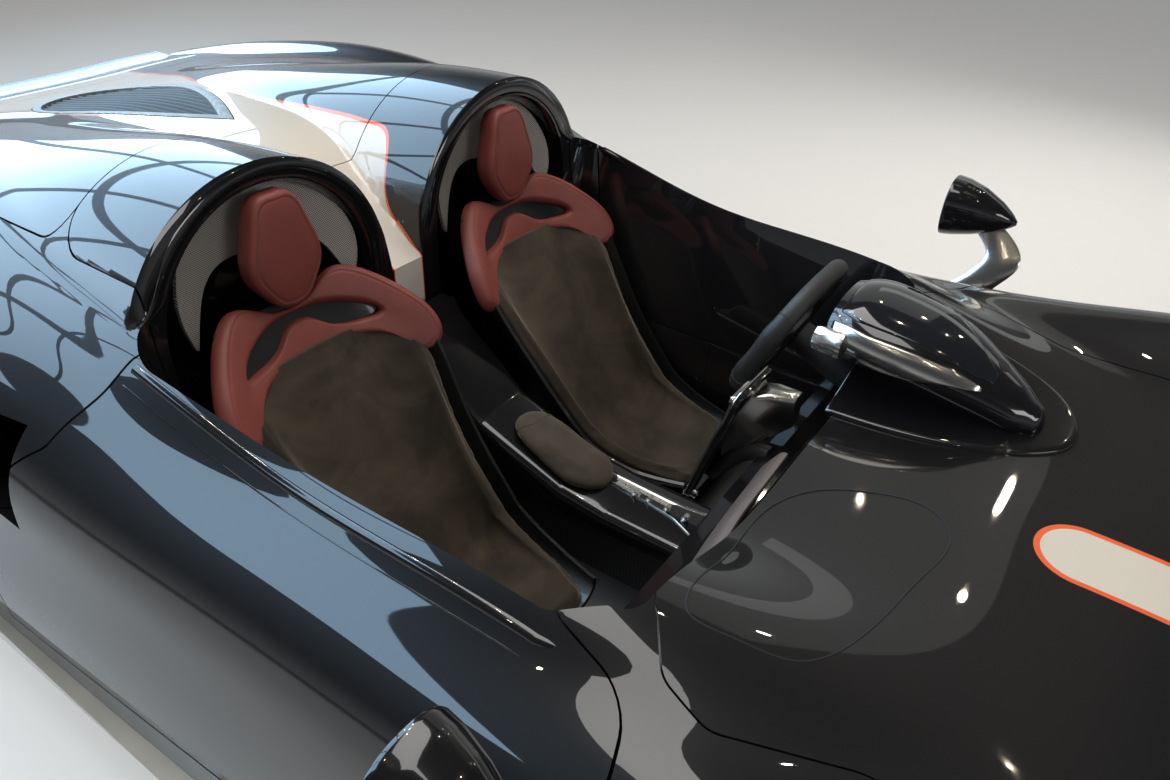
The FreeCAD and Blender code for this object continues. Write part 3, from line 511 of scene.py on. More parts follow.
def shutPrism(end, farY, grow, side):
    # everything on one side of a door seam, carried inboard and outboard along the shut face's own direction
    run = np.asarray(door[end + "Run"], float)
    corners = []
    for x, y, z in door[end + "Seam"]:
        shift = x - door["planeX"]
        corners.append((y + run[1] * shift, z + run[2] * shift))
    radii = [0.05] + [door["round"]] * len(corners) + [0.05, 0.05, 0.05]
    corners = [(corners[0][0], 1.6)] + corners + [(corners[-1][0], -0.5), (farY, -0.5), (farY, 1.6)]
    outline = offsetLoop(roundedLoop(corners, radii, 7), grow)
    flat = np.column_stack([np.full(len(outline), door["planeX"]), outline]) - run * 0.12
    return prism("shutTool", flat * (side, 1, 1), (0, 0, 0), run * 0.52 * (side, 1, 1))


def doorTool(side, grow):
    front, rear = shutPrism("front", 1.5, grow, side), shutPrism("rear", -1.5, grow, side)
    x0, x1 = sorted((side * (door["innerX"] - grow), side * 1.06))
    limits = planPrism("limitTool", [(x0, -1.4), (x1, -1.4), (x1, 1.4), (x0, 1.4)], door["bottom"] - grow, 1.3)
    return carve(front, [rear, limits], "INTERSECT")


panels = {"bonnet": [(0.56, -0.485), (0.665, -0.56), (0.69, -0.645), (0.625, -0.82), (0.585, -1.25),
                     (0.48, -1.9), (0.3, -2.01)],
          "bonnetRound": (0.02, 0.05, 0.05, 0.1, 0.3, 0.12, 0.1),
          "hoopCowl": [(0.646, 0.4), (0.646, 0.79)],
          "deck": [(0.64, 0.7903), (0.64, 1.5), (0.56, 2.01)], "deckRound": (0.06, 0.35, 0.09),
          "tubFront": -0.84, "tubRear": 1.11, "sillTop": 0.226,
          "vent": {"half": 0.186, "front": 1.105, "rear": 1.925},
          "nose": [(0.56, -2.4), (0.47, -2.01)], "noseLow": 0.17, "noseHigh": 0.268,
          "engine": (0.41, 0.8, 1.64, 0.175, 0.8)}


def ventOutline(inset, count=49):
    # drop: half width s * sqrt(1 - s), so the front end is a point and the rear end is round
    vent = panels["vent"]
    front, rear = vent["front"] + inset * 2.6, vent["rear"] - inset * 0.9
    s = 0.5 - 0.5 * np.cos(np.linspace(0, math.pi, count))
    wide = (vent["half"] - inset) * s * np.sqrt(1 - s) / 0.3849
    side = np.column_stack([wide, front + (rear - front) * s])
    return np.concatenate([side[:-1], (side * (-1, 1))[::-1][:-1]])


def ventTool():
    return planPrism("ventTool", ventOutline(-0.001), 0.5, 1.3)


def pocketTool(word, grow, form, low):
    # space inside a panel's plan outline down to the given form, which is the skin's inner face
    radius = list(panels[word + "Round"])
    outline = offsetLoop(roundedLoop(mirroredPlan(panels[word]), radius + radius[::-1], 8), grow)
    return carve(planPrism("pocketTool", outline, low, 1.2), [form], discard=False)


def copyOf(piece, name):
    return linkMesh(name, piece.data.copy())


lamps = {"head": [(-2.12, 0.43), (-1.96, 0.5), (-1.85, 0.56), (-1.85, 0.59), (-2.0, 0.54),
                  (-2.13, 0.47)], "headX": (0.56, 0.86), "headArc": (0.014, 6), "recess": 0.06,
         "tail": [(2.24, 0.64), (2.4, 0.64), (2.4, 0.668), (2.24, 0.668)], "tailX": (0.43, 0.76),
         "tailArc": (0.01, 5), "pipeX": 0.15, "pipeZ": 0.6, "pipeRadius": 0.048, "pipeY": 2.195}


def lampPrism(word, side, grow=0.0):
    outline = offsetLoop(roundedLoop(lamps[word], *lamps[word + "Arc"]), grow)
    x0, x1 = lamps[word + "X"]
    flat = np.column_stack([np.zeros(len(outline)), outline])
    return prism("lampTool", flat, (side * (x0 - grow), 0, 0), (side * (x1 - x0 + 2 * grow), 0, 0))


def makeBody():
    seam = body["seamHalf"]
    front = bodySolid("frontForm", noseY, -0.0005, 0.009)
    rear = bodySolid("rearForm", 0.0005, tailY, 0.007)
    cuts = {"cockpit": cockpitTool(), "foot": footwellTool()}
    for side in (1, -1):
        cuts["bay%d" % side] = bayTool(side)
        for end, wheel in wheels.items():
            x0, x1 = sorted((side * wheel["wall"], side * 1.12))
            cuts[end + str(side)] = drum("archTool", (wheel["axleY"], wheel["radius"]), wheel["arch"], x0, x1)
        cuts["intake%d" % side] = ductTool("side", side, 0.03)
        cuts["duct%d" % side] = ductTool("front", side, 0.025)
    cuts["nose"] = planPrism("noseTool", roundedLoop(mirroredPlan(panels["nose"]), 0.04), panels["noseLow"],
                             panels["noseHigh"])
    half, y0, y1, z0, z1 = panels["engine"]
    cuts["engine"] = planPrism("engineTool", [(-half, y0), (half, y0), (half, y1), (-half, y1)], z0, z1)
    whole = bodySolid("doorForm", -1.0, 1.0, 0.007)
    carve(whole, [cuts[word] for word in cuts if word != "nose"], discard=False)
    made = {}
    for name, side in leftAndRight:
        made["door_" + name] = carve(copyOf(whole, "door_panel_" + name),
                                     [doorTool(side, door["grow"])], "INTERSECT")
    y0, y1 = panels["tubFront"] - 0.0005, panels["tubRear"] + 0.0005
    sill = planPrism("sillTool", [(-1.1, y0), (1.1, y0), (1.1, y1), (-1.1, y1)], 0.0,
                     panels["sillTop"] + 0.0005)
    gaps = [doorTool(side, door["gap"]) for side in (1, -1)]
    carve(front, [cuts[word] for word in cuts if "bay" not in word and word != "engine"] + gaps + [sill],
          discard=False)
    carve(rear, [cuts[word] for word in cuts if word not in ("nose", "foot")] + gaps + [sill], discard=False)
    remove(whole, *cuts.values(), *gaps, sill)

    inner = bodySolid("innerForm", -2.25, 0.2, 0.02, 0.5, body["wall"], False)
    bonnet = carve(copyOf(front, "bonnet_skin"), [pocketTool("bonnet", -seam, inner, 0.3)], "INTERSECT")
    carve(front, [pocketTool("bonnet", seam, inner, 0.3)])
    remove(inner)
    outline = roundedLoop(mirroredPlan(panels["hoopCowl"]), (0.02, 0.07, 0.07, 0.02), 8)
    cowl = carve(copyOf(rear, "hoop_cowl_skin"), [planPrism("cowlTool", offsetLoop(outline, -seam), 0.3, 1.2)],
                 "INTERSECT")
    carve(rear, [planPrism("cowlTool", offsetLoop(outline, seam), 0.29, 1.2)])
    inner = bodySolid("innerForm", 0.4, 2.25, 0.02, 0.5, body["wall"])
    deck = carve(copyOf(rear, "rear_deck_skin"), [pocketTool("deck", -seam, inner, 0.6)], "INTERSECT")
    carve(rear, [pocketTool("deck", seam, inner, 0.59)])
    carve(deck, [ventTool()])
    carve(rear, [ventTool()])
    behind = bodySolid("behindForm", -2.25, -1.7, 0.02, 0.5, lamps["recess"], False)
    for side in (1, -1):
        carve(front, [carve(lampPrism("head", side), [behind], discard=False)])
        pipe = turnedRings([(lamps["pipeRadius"] + 0.0005, 0)], 64, (0, 2, 1))[0] \
            + (side * lamps["pipeX"], 0, lamps["pipeZ"])
        carve(rear, [lampPrism("tail", side),
                     prism("pipeTool", pipe, (0, lamps["pipeY"], 0), (0, 2.4 - lamps["pipeY"], 0))])
    remove(inner, behind)
    return {"front_clamshell": front, "bonnet": bonnet, "hoop_cowl": cowl, "rear_deck": deck,
            "rear_clamshell": rear, **made}


bodyPanels = makeBody()
for node, panel in bodyPanels.items():
    tidy(panel.data, 35, 2e-5, False)
    print(node, len(panel.data.polygons), "faces")
print("body panels cut")


# shader helpers
def addNode(tree, kind, inputs=None, **settings):
    # a node with its settings; an input given a socket is linked to it, any other value is set
    new = tree.nodes.new(kind)
    for word, value in settings.items():
        setattr(new, word, value)
    for socket, value in (inputs or {}).items():
        if isinstance(value, bpy.types.NodeSocket):
            tree.links.new(value, new.inputs[socket])
        else:
            new.inputs[socket].default_value = value
    return new


def maths(tree, operation, *values):
    return addNode(tree, "ShaderNodeMath", dict(enumerate(values)), operation=operation).outputs[0]


def mixColours(tree, factor, a, b):
    a, b = ((*value, 1) if isinstance(value, tuple) else value for value in (a, b))
    return addNode(tree, "ShaderNodeMix", {0: factor, 6: a, 7: b}, data_type="RGBA").outputs[2]


def shade(colour, share):
    return tuple(share * value for value in colour)


def span(tree, value, low, high, newLow=0.0, newHigh=1.0):
    return addNode(tree, "ShaderNodeMapRange", {"Value": value, "From Min": low, "From Max": high,
                                                "To Min": newLow, "To Max": newHigh}).outputs["Result"]


def bumpFrom(tree, height, strength, distance):
    return addNode(tree, "ShaderNodeBump", {"Height": height, "Strength": strength,
                                            "Distance": distance}).outputs["Normal"]


def noise(tree, vector, scale, detail, output="Fac", **inputs):
    return addNode(tree, "ShaderNodeTexNoise", {"Vector": vector, "Scale": scale, "Detail": detail,
                                                **inputs}).outputs[output]


def newGroup(name, outputs, **inputs):
    # group with a vector and float inputs (word=default) and float outputs
    group = bpy.data.node_groups.new(name, "ShaderNodeTree")
    group.interface.new_socket(name="Vector", in_out="INPUT", socket_type="NodeSocketVector")
    for word, value in inputs.items():
        socket = group.interface.new_socket(name=word, in_out="INPUT", socket_type="NodeSocketFloat")
        socket.default_value = value
    for word in outputs:
        group.interface.new_socket(name=word, in_out="OUTPUT", socket_type="NodeSocketFloat")
    return group, group.nodes.new("NodeGroupInput").outputs


def closeGroup(group, *results):
    end = group.nodes.new("NodeGroupOutput")
    for index, socket in enumerate(results):
        group.links.new(socket, end.inputs[index])
    return group


def useGroup(tree, word, vector, **inputs):
    return addNode(tree, "ShaderNodeGroup", {"Vector": vector, **inputs}, node_tree=groups[word]).outputs


def newMaterial(name, **sockets):
    # Principled material; returns it, its tree and the object coordinates
    material = bpy.data.materials.new(name)
    material.use_nodes = True
    tree = material.node_tree
    for word, value in sockets.items():
        socket = tree.nodes["Principled BSDF"].inputs[word.replace("_", " ")]
        socket.default_value = (*value, 1) if isinstance(value, tuple) else value
    return material, tree, tree.nodes.new("ShaderNodeTexCoord").outputs["Object"]


def finish(material, colour, normal=None, **others):
    # results to the shader's sockets
    tree = material.node_tree
    for word, socket in {"Base Color": colour, "Normal": normal, **others}.items():
        if socket:
            tree.links.new(socket, tree.nodes["Principled BSDF"].inputs[word.replace("_", " ")])
    return material


def grainGroup():
    # fine grain in two sizes: small bumps, and slow drifts of tone
    group, start = newGroup("surfaceGrain", ("Grain", "Drift"), Scale=900.0, Cloud=9.0)
    return closeGroup(group, noise(group, start["Vector"], start["Scale"], 3.0),
                      noise(group, start["Vector"], start["Cloud"], 4.0))


def leatherGroup():
    # leather grain: small cells with creased edges, broken up by noise
    group, start = newGroup("leatherGrain", ("Height", "Crease"), Scale=520.0)
    place = start["Vector"]
    warp = noise(group, place, 160.0, 2.0, "Color")
    shift = addNode(group, "ShaderNodeVectorMath", {0: warp, "Scale": 0.003}, operation="SCALE").outputs[0]
    moved = addNode(group, "ShaderNodeVectorMath", {0: place, 1: shift}, operation="ADD").outputs[0]
    cells = addNode(group, "ShaderNodeTexVoronoi", {"Vector": moved, "Scale": start["Scale"]},
                    feature="DISTANCE_TO_EDGE")
    return closeGroup(group, span(group, cells.outputs["Distance"], 0.0, 0.22),
                      noise(group, place, 14.0, 5.0, Roughness=0.6))


def napGroup():
    # suede nap: soft patches of painted sheen where the nap lies two ways, over very fine fibres
    group, start = newGroup("suedeNap", ("Fibre", "SheenPatch"), Scale=1400.0, Patches=7.0)
    return closeGroup(group, noise(group, start["Vector"], start["Scale"], 2.0),
                      noise(group, start["Vector"], start["Patches"], 6.0, Roughness=0.62, Distortion=0.6))


def stripeGroup():
    # masks of the painted stripes: 1 inside; Cream is the field and Line the thin border round it
    group, start = newGroup("paintStripes", ("Cream", "Line"), Border=0.0105, Half=0.065, Upright=1.0)
    place = addNode(group, "ShaderNodeSeparateXYZ", {0: start["Vector"]}).outputs
    along = place["Y"]

    def do(operation, *values):
        return maths(group, operation, *values)

    across = do("ABSOLUTE", place["X"])
    # bonnet: distance to a capsule that ends in a half circle and runs off to the nose
    ahead = do("MAXIMUM", do("SUBTRACT", along, stripes["bonnetEnd"]), 0.0)
    near = do("SQRT", do("ADD", do("MULTIPLY", across, across), do("MULTIPLY", ahead, ahead)))
    bonnet = do("SUBTRACT", near, start["Half"])
    # tail: half width as a curve over the station, with the slope taken out so that the border keeps its width
    tail, step = stripes["tail"], stripes["slopeStep"]
    y0, y1 = tail[0][0], tail[-1][0]
    widths = []
    for shift in (-0.5, 0.5):
        share = span(group, do("ADD", along, shift * step), y0, y1)
        curve = addNode(group, "ShaderNodeFloatCurve", {"Value": share})
        points = curve.mapping.curves[0].points
        for index, (y, half) in enumerate(tail):
            spot = ((y - y0) / (y1 - y0), half)
            if 0 < index < len(tail) - 1:
                points.new(*spot)
            else:
                points[min(index, 1)].location = spot
        curve.mapping.update()
        widths.append(curve.outputs["Value"])
    half = do("MULTIPLY", do("ADD", *widths), 0.5)
    slope = do("DIVIDE", do("SUBTRACT", widths[1], widths[0]), step)
    steep = do("SQRT", do("ADD", do("MULTIPLY", slope, slope), 1.0))
    side = do("DIVIDE", do("SUBTRACT", across, half), steep)
    field = do("SMOOTH_MAX", side, do("SUBTRACT", stripes["tailEnd"], along), 0.045)
    upright = do("MAXIMUM", start["Upright"], 0.25)  # steep walls would smear the line
    nearest = do("DIVIDE", do("MINIMUM", bonnet, field), upright)
    above = do("GREATER_THAN", place["Z"], stripes["lowest"])
    cream = do("MULTIPLY", do("LESS_THAN", nearest, 0.0), above)
    both = do("MULTIPLY", do("LESS_THAN", nearest, start["Border"]), above)
    return closeGroup(group, cream, do("SUBTRACT", both, cream))


def holesGroup():
    # staggered round holes: distance to the nearest of two square lattices, half a step apart
    group, start = newGroup("roundHoles", ("Hole", "Rim"), Pitch=0.004, Radius=0.0013)
    place = addNode(group, "ShaderNodeSeparateXYZ", {0: start["Vector"]}).outputs
    spots = []
    for shift in (0.0, 0.5):
        parts = []
        for axis in ("X", "Y"):
            cell = maths(group, "ADD", maths(group, "DIVIDE", place[axis], start["Pitch"]), shift)
            offset = maths(group, "SUBTRACT", maths(group, "FRACT", cell), 0.5)
            parts.append(maths(group, "MULTIPLY", offset, offset))
        reach = maths(group, "SQRT", maths(group, "ADD", *parts))
        spots.append(maths(group, "MULTIPLY", reach, start["Pitch"]))
    ratio = maths(group, "DIVIDE", maths(group, "MINIMUM", *spots), start["Radius"])
    return closeGroup(group, span(group, ratio, 0.85, 1.05, 1.0, 0.0), span(group, ratio, 0.7, 1.6))


def weaveGroup():
    # carbon twill: two families of tows, each over the other by turns along diagonals
    group, start = newGroup("carbonTwill", ("Warp", "Height"), Tow=0.0022)
    place = addNode(group, "ShaderNodeSeparateXYZ", {0: start["Vector"]}).outputs
    cells = [maths(group, "DIVIDE", place[axis], start["Tow"]) for axis in ("X", "Y")]
    steps = [maths(group, "FLOOR", cell) for cell in cells]
    turn = maths(group, "FRACT", maths(group, "MULTIPLY", maths(group, "ADD", *steps), 0.25))
    over = maths(group, "LESS_THAN", turn, 0.49)
    crowns = []
    for cell in cells:
        wave = maths(group, "SUBTRACT", maths(group, "FRACT", cell), 0.5)
        bulge = maths(group, "MULTIPLY", maths(group, "MULTIPLY", wave, wave), 4.0)
        crowns.append(maths(group, "SUBTRACT", 1.0, bulge))
    return closeGroup(group, over, addNode(group, "ShaderNodeMix",
                                           {0: over, 2: crowns[0], 3: crowns[1]}).outputs[0])


# half width of the cream field over the station y, where the tail stripe ends, and the bonnet stripe's end
stripes = {"bonnetEnd": -0.976, "tailEnd": 0.486, "slopeStep": 0.012, "lowest": 0.3,
           "tail": [(0.4, 0.046), (0.55, 0.049), (0.62, 0.054), (0.66, 0.066), (0.69, 0.112), (0.73, 0.146),
                    (0.8, 0.154), (0.9, 0.163), (1.06, 0.167), (1.21, 0.16), (1.3, 0.15), (1.4, 0.158),
                    (1.55, 0.2), (1.73, 0.262), (1.95, 0.3), (2.32, 0.34)]}
tones = {"black": (0.0065, 0.0065, 0.0075), "cream": (0.71, 0.665, 0.585), "orange": (0.86, 0.135, 0.035)}
groups = {"grain": grainGroup(), "leather": leatherGroup(), "nap": napGroup(), "stripes": stripeGroup(),
          "holes": holesGroup(), "weave": weaveGroup()}


def flatPlace(tree, place, xAxis="X", yAxis="Z"):
    # two of the object coordinates as a flat pattern plane
    parts = addNode(tree, "ShaderNodeSeparateXYZ", {0: place}).outputs
    return addNode(tree, "ShaderNodeCombineXYZ", {"X": parts[xAxis], "Y": parts[yAxis]}).outputs[0]


def ripple(tree, place):
    # faint ripple of a sprayed surface
    return bumpFrom(tree, noise(tree, place, 90.0, 1.0), 0.02, 0.001)


def paintMaterial():
    # deep black lacquer with fine flake as lighter specks (the flakes' own tone with painted glints), cream fields
    # and orange lines under one clear coat
    material, tree, place = newMaterial("paint_lacquer", Roughness=0.35, Coat_Weight=1.0, Coat_Roughness=0.02,
                                        Coat_IOR=1.5, Specular_IOR_Level=0.12)
    flake = addNode(tree, "ShaderNodeTexVoronoi", {"Vector": place, "Scale": 2600.0})
    # flake specks lighter than the black: the flakes' own tone with painted glints
    flakeGlint = span(tree, flake.outputs["Distance"], 0.0, 0.25, 1.0, 0.0)
    tint = mixColours(tree, maths(tree, "MULTIPLY", flakeGlint, 0.35), tones["black"], (0.045, 0.04, 0.038))
    facing = addNode(tree, "ShaderNodeSeparateXYZ", {0: tree.nodes.new("ShaderNodeNewGeometry").outputs["Normal"]})
    masks = useGroup(tree, "stripes", place, Upright=maths(tree, "ABSOLUTE", facing.outputs["Z"]))
    cream = mixColours(tree, useGroup(tree, "grain", place, Scale=700.0)["Drift"], tones["cream"],
                       shade(tones["cream"], 0.96))
    colour = mixColours(tree, masks["Cream"], tint, cream)
    return finish(material, mixColours(tree, masks["Line"], colour, tones["orange"]), ripple(tree, place))


def suedeMaterial(name, colour, dark):
    # brushed suede: slow patches of painted sheen where the nap lies two ways, fine fibres, soft sheen
    material, tree, place = newMaterial(name, Roughness=0.92, Sheen_Weight=0.45, Sheen_Roughness=0.45,
                                        Specular_IOR_Level=0.18, Sheen_Tint=(0.75, 0.66, 0.54))
    nap = useGroup(tree, "nap", place)
    # painted sheen: patches between the dark tone and the colour where the nap lies two ways
    tone = mixColours(tree, span(tree, nap["SheenPatch"], 0.36, 0.66), dark, colour)
    tone = mixColours(tree, span(tree, nap["Fibre"], 0.3, 0.7, 0.0, 0.35), tone, shade(colour, 1.7))
    return finish(material, tone, bumpFrom(tree, nap["Fibre"], 0.35, 0.0006))


def leatherMaterial(name, colour, roughness=0.42, scale=520.0):
    # dyed leather: creased cells with painted shade in the creases, slow changes of tone, slightly glossier on the
    # high spots
    material, tree, place = newMaterial(name, Roughness=roughness, Specular_IOR_Level=0.5)
    grain = useGroup(tree, "leather", place, Scale=scale)
    tone = mixColours(tree, span(tree, grain["Crease"], 0.3, 0.75), shade(colour, 0.86), shade(colour, 1.1))
    # painted shade: the creases at the cell edges darkened towards 0.55 of the colour
    tone = mixColours(tree, span(tree, grain["Height"], 0.0, 0.8, 0.3, 0.0), tone, shade(colour, 0.55))
    return finish(material, tone, bumpFrom(tree, grain["Height"], 0.3, 0.0004),
                  Roughness=span(tree, grain["Height"], 0.0, 1.0, roughness + 0.14, roughness))


def lacquerMaterial(name, colour, roughness=0.3):
    # plain lacquer under a clear coat
    material, tree, place = newMaterial(name, Roughness=roughness, Coat_Weight=1.0, Coat_Roughness=0.03,
                                        Specular_IOR_Level=0.15)
    cloud = useGroup(tree, "grain", place, Scale=500.0)["Drift"]
    return finish(material, mixColours(tree, cloud, shade(colour, 0.85), shade(colour, 1.15)),
                  ripple(tree, place))


def plasticMaterial(name, colour, roughness=0.5, bump=0.25, scale=1100.0):
    # moulded plastic or rubber with a fine eroded texture
    material, tree, place = newMaterial(name, Roughness=roughness)
    grain = useGroup(tree, "grain", place, Scale=scale)
    return finish(material, mixColours(tree, grain["Drift"], shade(colour, 0.8), shade(colour, 1.2)),
                  bumpFrom(tree, grain["Grain"], bump, 0.0004),
                  Roughness=span(tree, grain["Grain"], 0.3, 0.7, roughness - 0.07, roughness + 0.07))


def metalMaterial(name, colour, roughness=0.3, stretch=(1.0, 1.0, 1.0), scale=400.0, bump=0.08):
    # metal with fine scratches, drawn out along one direction where it is brushed
    material, tree, place = newMaterial(name, Metallic=1.0, Roughness=roughness)
    lay = addNode(tree, "ShaderNodeMapping", {"Vector": place, "Scale": stretch}).outputs[0]
    grain = useGroup(tree, "grain", lay, Scale=scale)
    return finish(material, mixColours(tree, grain["Drift"], shade(colour, 0.88), colour),
                  bumpFrom(tree, grain["Grain"], bump, 0.0002),
                  Roughness=span(tree, grain["Grain"], 0.25, 0.75, roughness * 0.75, roughness * 1.3))


def perforatedMaterial():
    # thin satin panel with staggered round holes, painted dark as the shade seen through them
    material, tree, place = newMaterial("halo_perforated", Roughness=0.34, Coat_Weight=0.35,
                                        Coat_Roughness=0.12)
    holes = useGroup(tree, "holes", flatPlace(tree, place), Pitch=0.0052, Radius=0.00135)
    metal = mixColours(tree, useGroup(tree, "grain", place)["Drift"], (0.56, 0.53, 0.475), (0.66, 0.63, 0.57))
    # painted shade: the holes are near black for the darkness behind the panel
    return finish(material, mixColours(tree, holes["Hole"], metal, (0.01, 0.009, 0.008)),
                  bumpFrom(tree, holes["Rim"], 0.5, 0.0008),
                  Metallic=span(tree, holes["Hole"], 0.0, 1.0, 0.12, 0.0))


def carbonMaterial(name, gloss=0.9, plane=("X", "Y"), dark=1.0):
    # carbon twill under clear resin: warp and weft painted in two tones, a painted sheen for how they catch the
    # light differently
    material, tree, place = newMaterial(name, Coat_Weight=gloss, Coat_Roughness=0.06)
    weave = useGroup(tree, "weave", flatPlace(tree, place, *plane))
    # painted sheen: tows in one direction darker than in the other
    return finish(material, mixColours(tree, weave["Warp"], (0.01 * dark,) * 3, (0.034 * dark,) * 3),
                  bumpFrom(tree, weave["Height"], 0.25, 0.0003),
                  Roughness=span(tree, weave["Warp"], 0.0, 1.0, 0.32, 0.48))


def glassMaterial(name, colour, glow=None):
    # tinted lamp cover over a dark housing, read as a thick coat with fine moulded lines
    sockets = {"Emission_Strength": 0.6} if glow else {}
    material, tree, place = newMaterial(name, Roughness=0.08, Coat_Weight=1.0, Coat_Roughness=0.02, **sockets)
    lines = addNode(tree, "ShaderNodeTexWave", {"Vector": place, "Scale": 55.0, "Distortion": 0.4},
                    bands_direction="X").outputs["Fac"]
    return finish(material, mixColours(tree, span(tree, lines, 0.55, 0.95), shade(colour, 0.4), colour),
                  bumpFrom(tree, lines, 0.2, 0.0006),
                  Emission_Color=mixColours(tree, lines, (0.0, 0.0, 0.0), glow) if glow else None)


def meshMaterial(name, colour):
    # pressed mesh: metal round staggered openings, painted black as the shade seen through them
    material, tree, place = newMaterial(name, Roughness=0.4, Metallic=0.3)
    holes = useGroup(tree, "holes", flatPlace(tree, place), Pitch=0.0045, Radius=0.0012)
    # painted shade: the openings are black for the darkness behind the mesh
    return finish(material, mixColours(tree, holes["Hole"], colour, (0.001, 0.001, 0.001)),
                  bumpFrom(tree, holes["Rim"], 0.6, 0.001))


materials = {
    "paint": paintMaterial(),
    "gloss": lacquerMaterial("gloss_black", (0.007, 0.007, 0.008), 0.2),
    "cream": lacquerMaterial("cream_lacquer", (0.7, 0.66, 0.58), 0.35),
    "shellBlack": carbonMaterial("carbon_seat", 0.35, ("X", "Z"), 0.4),
    "carbon": carbonMaterial("carbon_floor"),
    "suede": suedeMaterial("suede_olive", (0.058, 0.046, 0.032), (0.012, 0.01, 0.008)),
    "suedeTrim": suedeMaterial("suede_trim", (0.072, 0.06, 0.046), (0.034, 0.028, 0.022)),
    "redLeather": leatherMaterial("leather_oxblood", (0.235, 0.052, 0.04)),
    "redThread": leatherMaterial("thread_oxblood", (0.16, 0.03, 0.022), 0.7, 1500.0),
    "darkLeather": leatherMaterial("leather_charcoal", (0.022, 0.021, 0.021), 0.48),
    "perforated": perforatedMaterial(),
    "brushedSilver": metalMaterial("silver_brushed", (0.6, 0.57, 0.52), 0.26, (0.15, 2.0, 2.0), 600.0),
    "satinSilver": metalMaterial("silver_satin", (0.66, 0.64, 0.6), 0.2),
    "chrome": metalMaterial("chrome", (0.8, 0.8, 0.8), 0.07),
    "alloy": metalMaterial("alloy_cast", (0.42, 0.42, 0.43), 0.42, bump=0.25),
    "engineMetal": metalMaterial("engine_cast", (0.2, 0.2, 0.21), 0.55, bump=0.4),
    "rim": metalMaterial("rim_dark", (0.075, 0.076, 0.08), 0.3, bump=0.05),
    "disc": metalMaterial("disc_ceramic", (0.16, 0.16, 0.165), 0.38, (1.0, 0.3, 0.3), 900.0),
    "exhaust": metalMaterial("exhaust_titanium", (0.36, 0.33, 0.34), 0.28),
    "rubber": plasticMaterial("tyre_rubber", (0.018, 0.018, 0.018), 0.78, 0.4),
    "blackPlastic": plasticMaterial("plastic_black", (0.016, 0.016, 0.017), 0.55),
    "lipGrey": plasticMaterial("lip_grey", (0.135, 0.115, 0.112), 0.42, 0.15),
    "softBlack": plasticMaterial("liner_black", (0.01, 0.01, 0.011), 0.82, 0.6, 700.0),
    "headGlass": glassMaterial("lamp_cover", (0.1, 0.11, 0.12)),
    "tailGlass": glassMaterial("tail_cover", (0.22, 0.006, 0.006), (0.35, 0.01, 0.01)),
    "screen": lacquerMaterial("screen_glass", (0.01, 0.011, 0.014), 0.1),
    "vent": meshMaterial("vent_border", (0.3, 0.285, 0.26)),
}


def dress(piece, material, slot, *nodes, on="chassis"):
    # material, record slot (not used), the solids that the piece stands for, and the body it rides on
    piece.data.materials.clear()
    piece.data.materials.append(materials[material])
    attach(piece, on)
    if nodes:
        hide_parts(*nodes)
    return piece


for node, panel in bodyPanels.items():
    dress(panel, "paint", "paint", node, on=node if node.startswith("door") else "chassis")


# floor, lights and background
studio = {"floor": (0.66, 0.65, 0.63), "glow": 0.24, "horizon": (0.42, 0.43, 0.45),
          "overhead": (0.05, 0.052, 0.055),
          "window": {"place": (-0.9, 5.4, 4.6), "across": (1.0, 0.0, 0.0), "up": (0.0, -0.42, 0.91),
                     "columns": 4, "rows": 3, "pane": (2.15, 2.15), "gap": 0.17, "radiance": 6.5},
          "wall": [(-1.45, -0.85, 0.85), (-0.85, 4.2, 0.3)],
          "spots": [(-2.0, -1.8), (-0.6, -2.4), (0.8, -1.6), (2.0, -0.4), (-1.6, 0.6),
                    (0.4, 0.8), (-2.8, -0.4), (1.4, 2.0), (3.6, -1.4), (4.4, -0.6), (5.2, -1.8), (4.0, 0.4),
                    (0.3, 2.2), (1.0, 2.9), (-0.4, 3.1), (0.8, 1.4)]}


def makeFloor():
    material, tree, place = newMaterial("floor_plain", Roughness=0.55, Emission_Strength=1.0)
    cloud = useGroup(tree, "grain", place, Scale=200.0)["Drift"]
    rays = tree.nodes.new("ShaderNodeLightPath").outputs  # the far floor stays pale where the lamps don't reach
    seen = maths(tree, "MAXIMUM", rays["Is Camera Ray"], maths(tree, "MULTIPLY", rays["Is Glossy Ray"], 0.25))
    finish(material, mixColours(tree, cloud, studio["floor"], shade(studio["floor"], 0.985)),
           Emission_Color=mixColours(tree, maths(tree, "MULTIPLY", seen, studio["glow"]), (0, 0, 0),
                                     (1.0, 0.985, 0.96)))
    r, a = np.meshgrid(np.linspace(0, 14, 30), fullTurn(64), indexing="ij")
    floor = gridPiece("floor", [(np.stack([r * np.cos(a), r * np.sin(a), 0 * r], -1), False, True)])
    floor.data.materials.append(material)


def areaLight(name, place, target, size, power, colour=(1, 1, 1), hidden=""):
    # hidden: what the lamp doesn't show in, "glossy" or "diffuse"
    data = bpy.data.lights.new(name, "AREA")
    data.shape = "RECTANGLE"
    data.size, data.size_y = size
    data.energy = power
    data.color = colour
    light = bpy.data.objects.new(name, data)
    light.location = place
    light.rotation_euler = (Vector(target) - Vector(place)).to_track_quat("-Z", "Y").to_euler()
    light.visible_glossy = hidden != "glossy"
    light.visible_diffuse = hidden != "diffuse"
    bpy.context.scene.collection.objects.link(light)
    return light


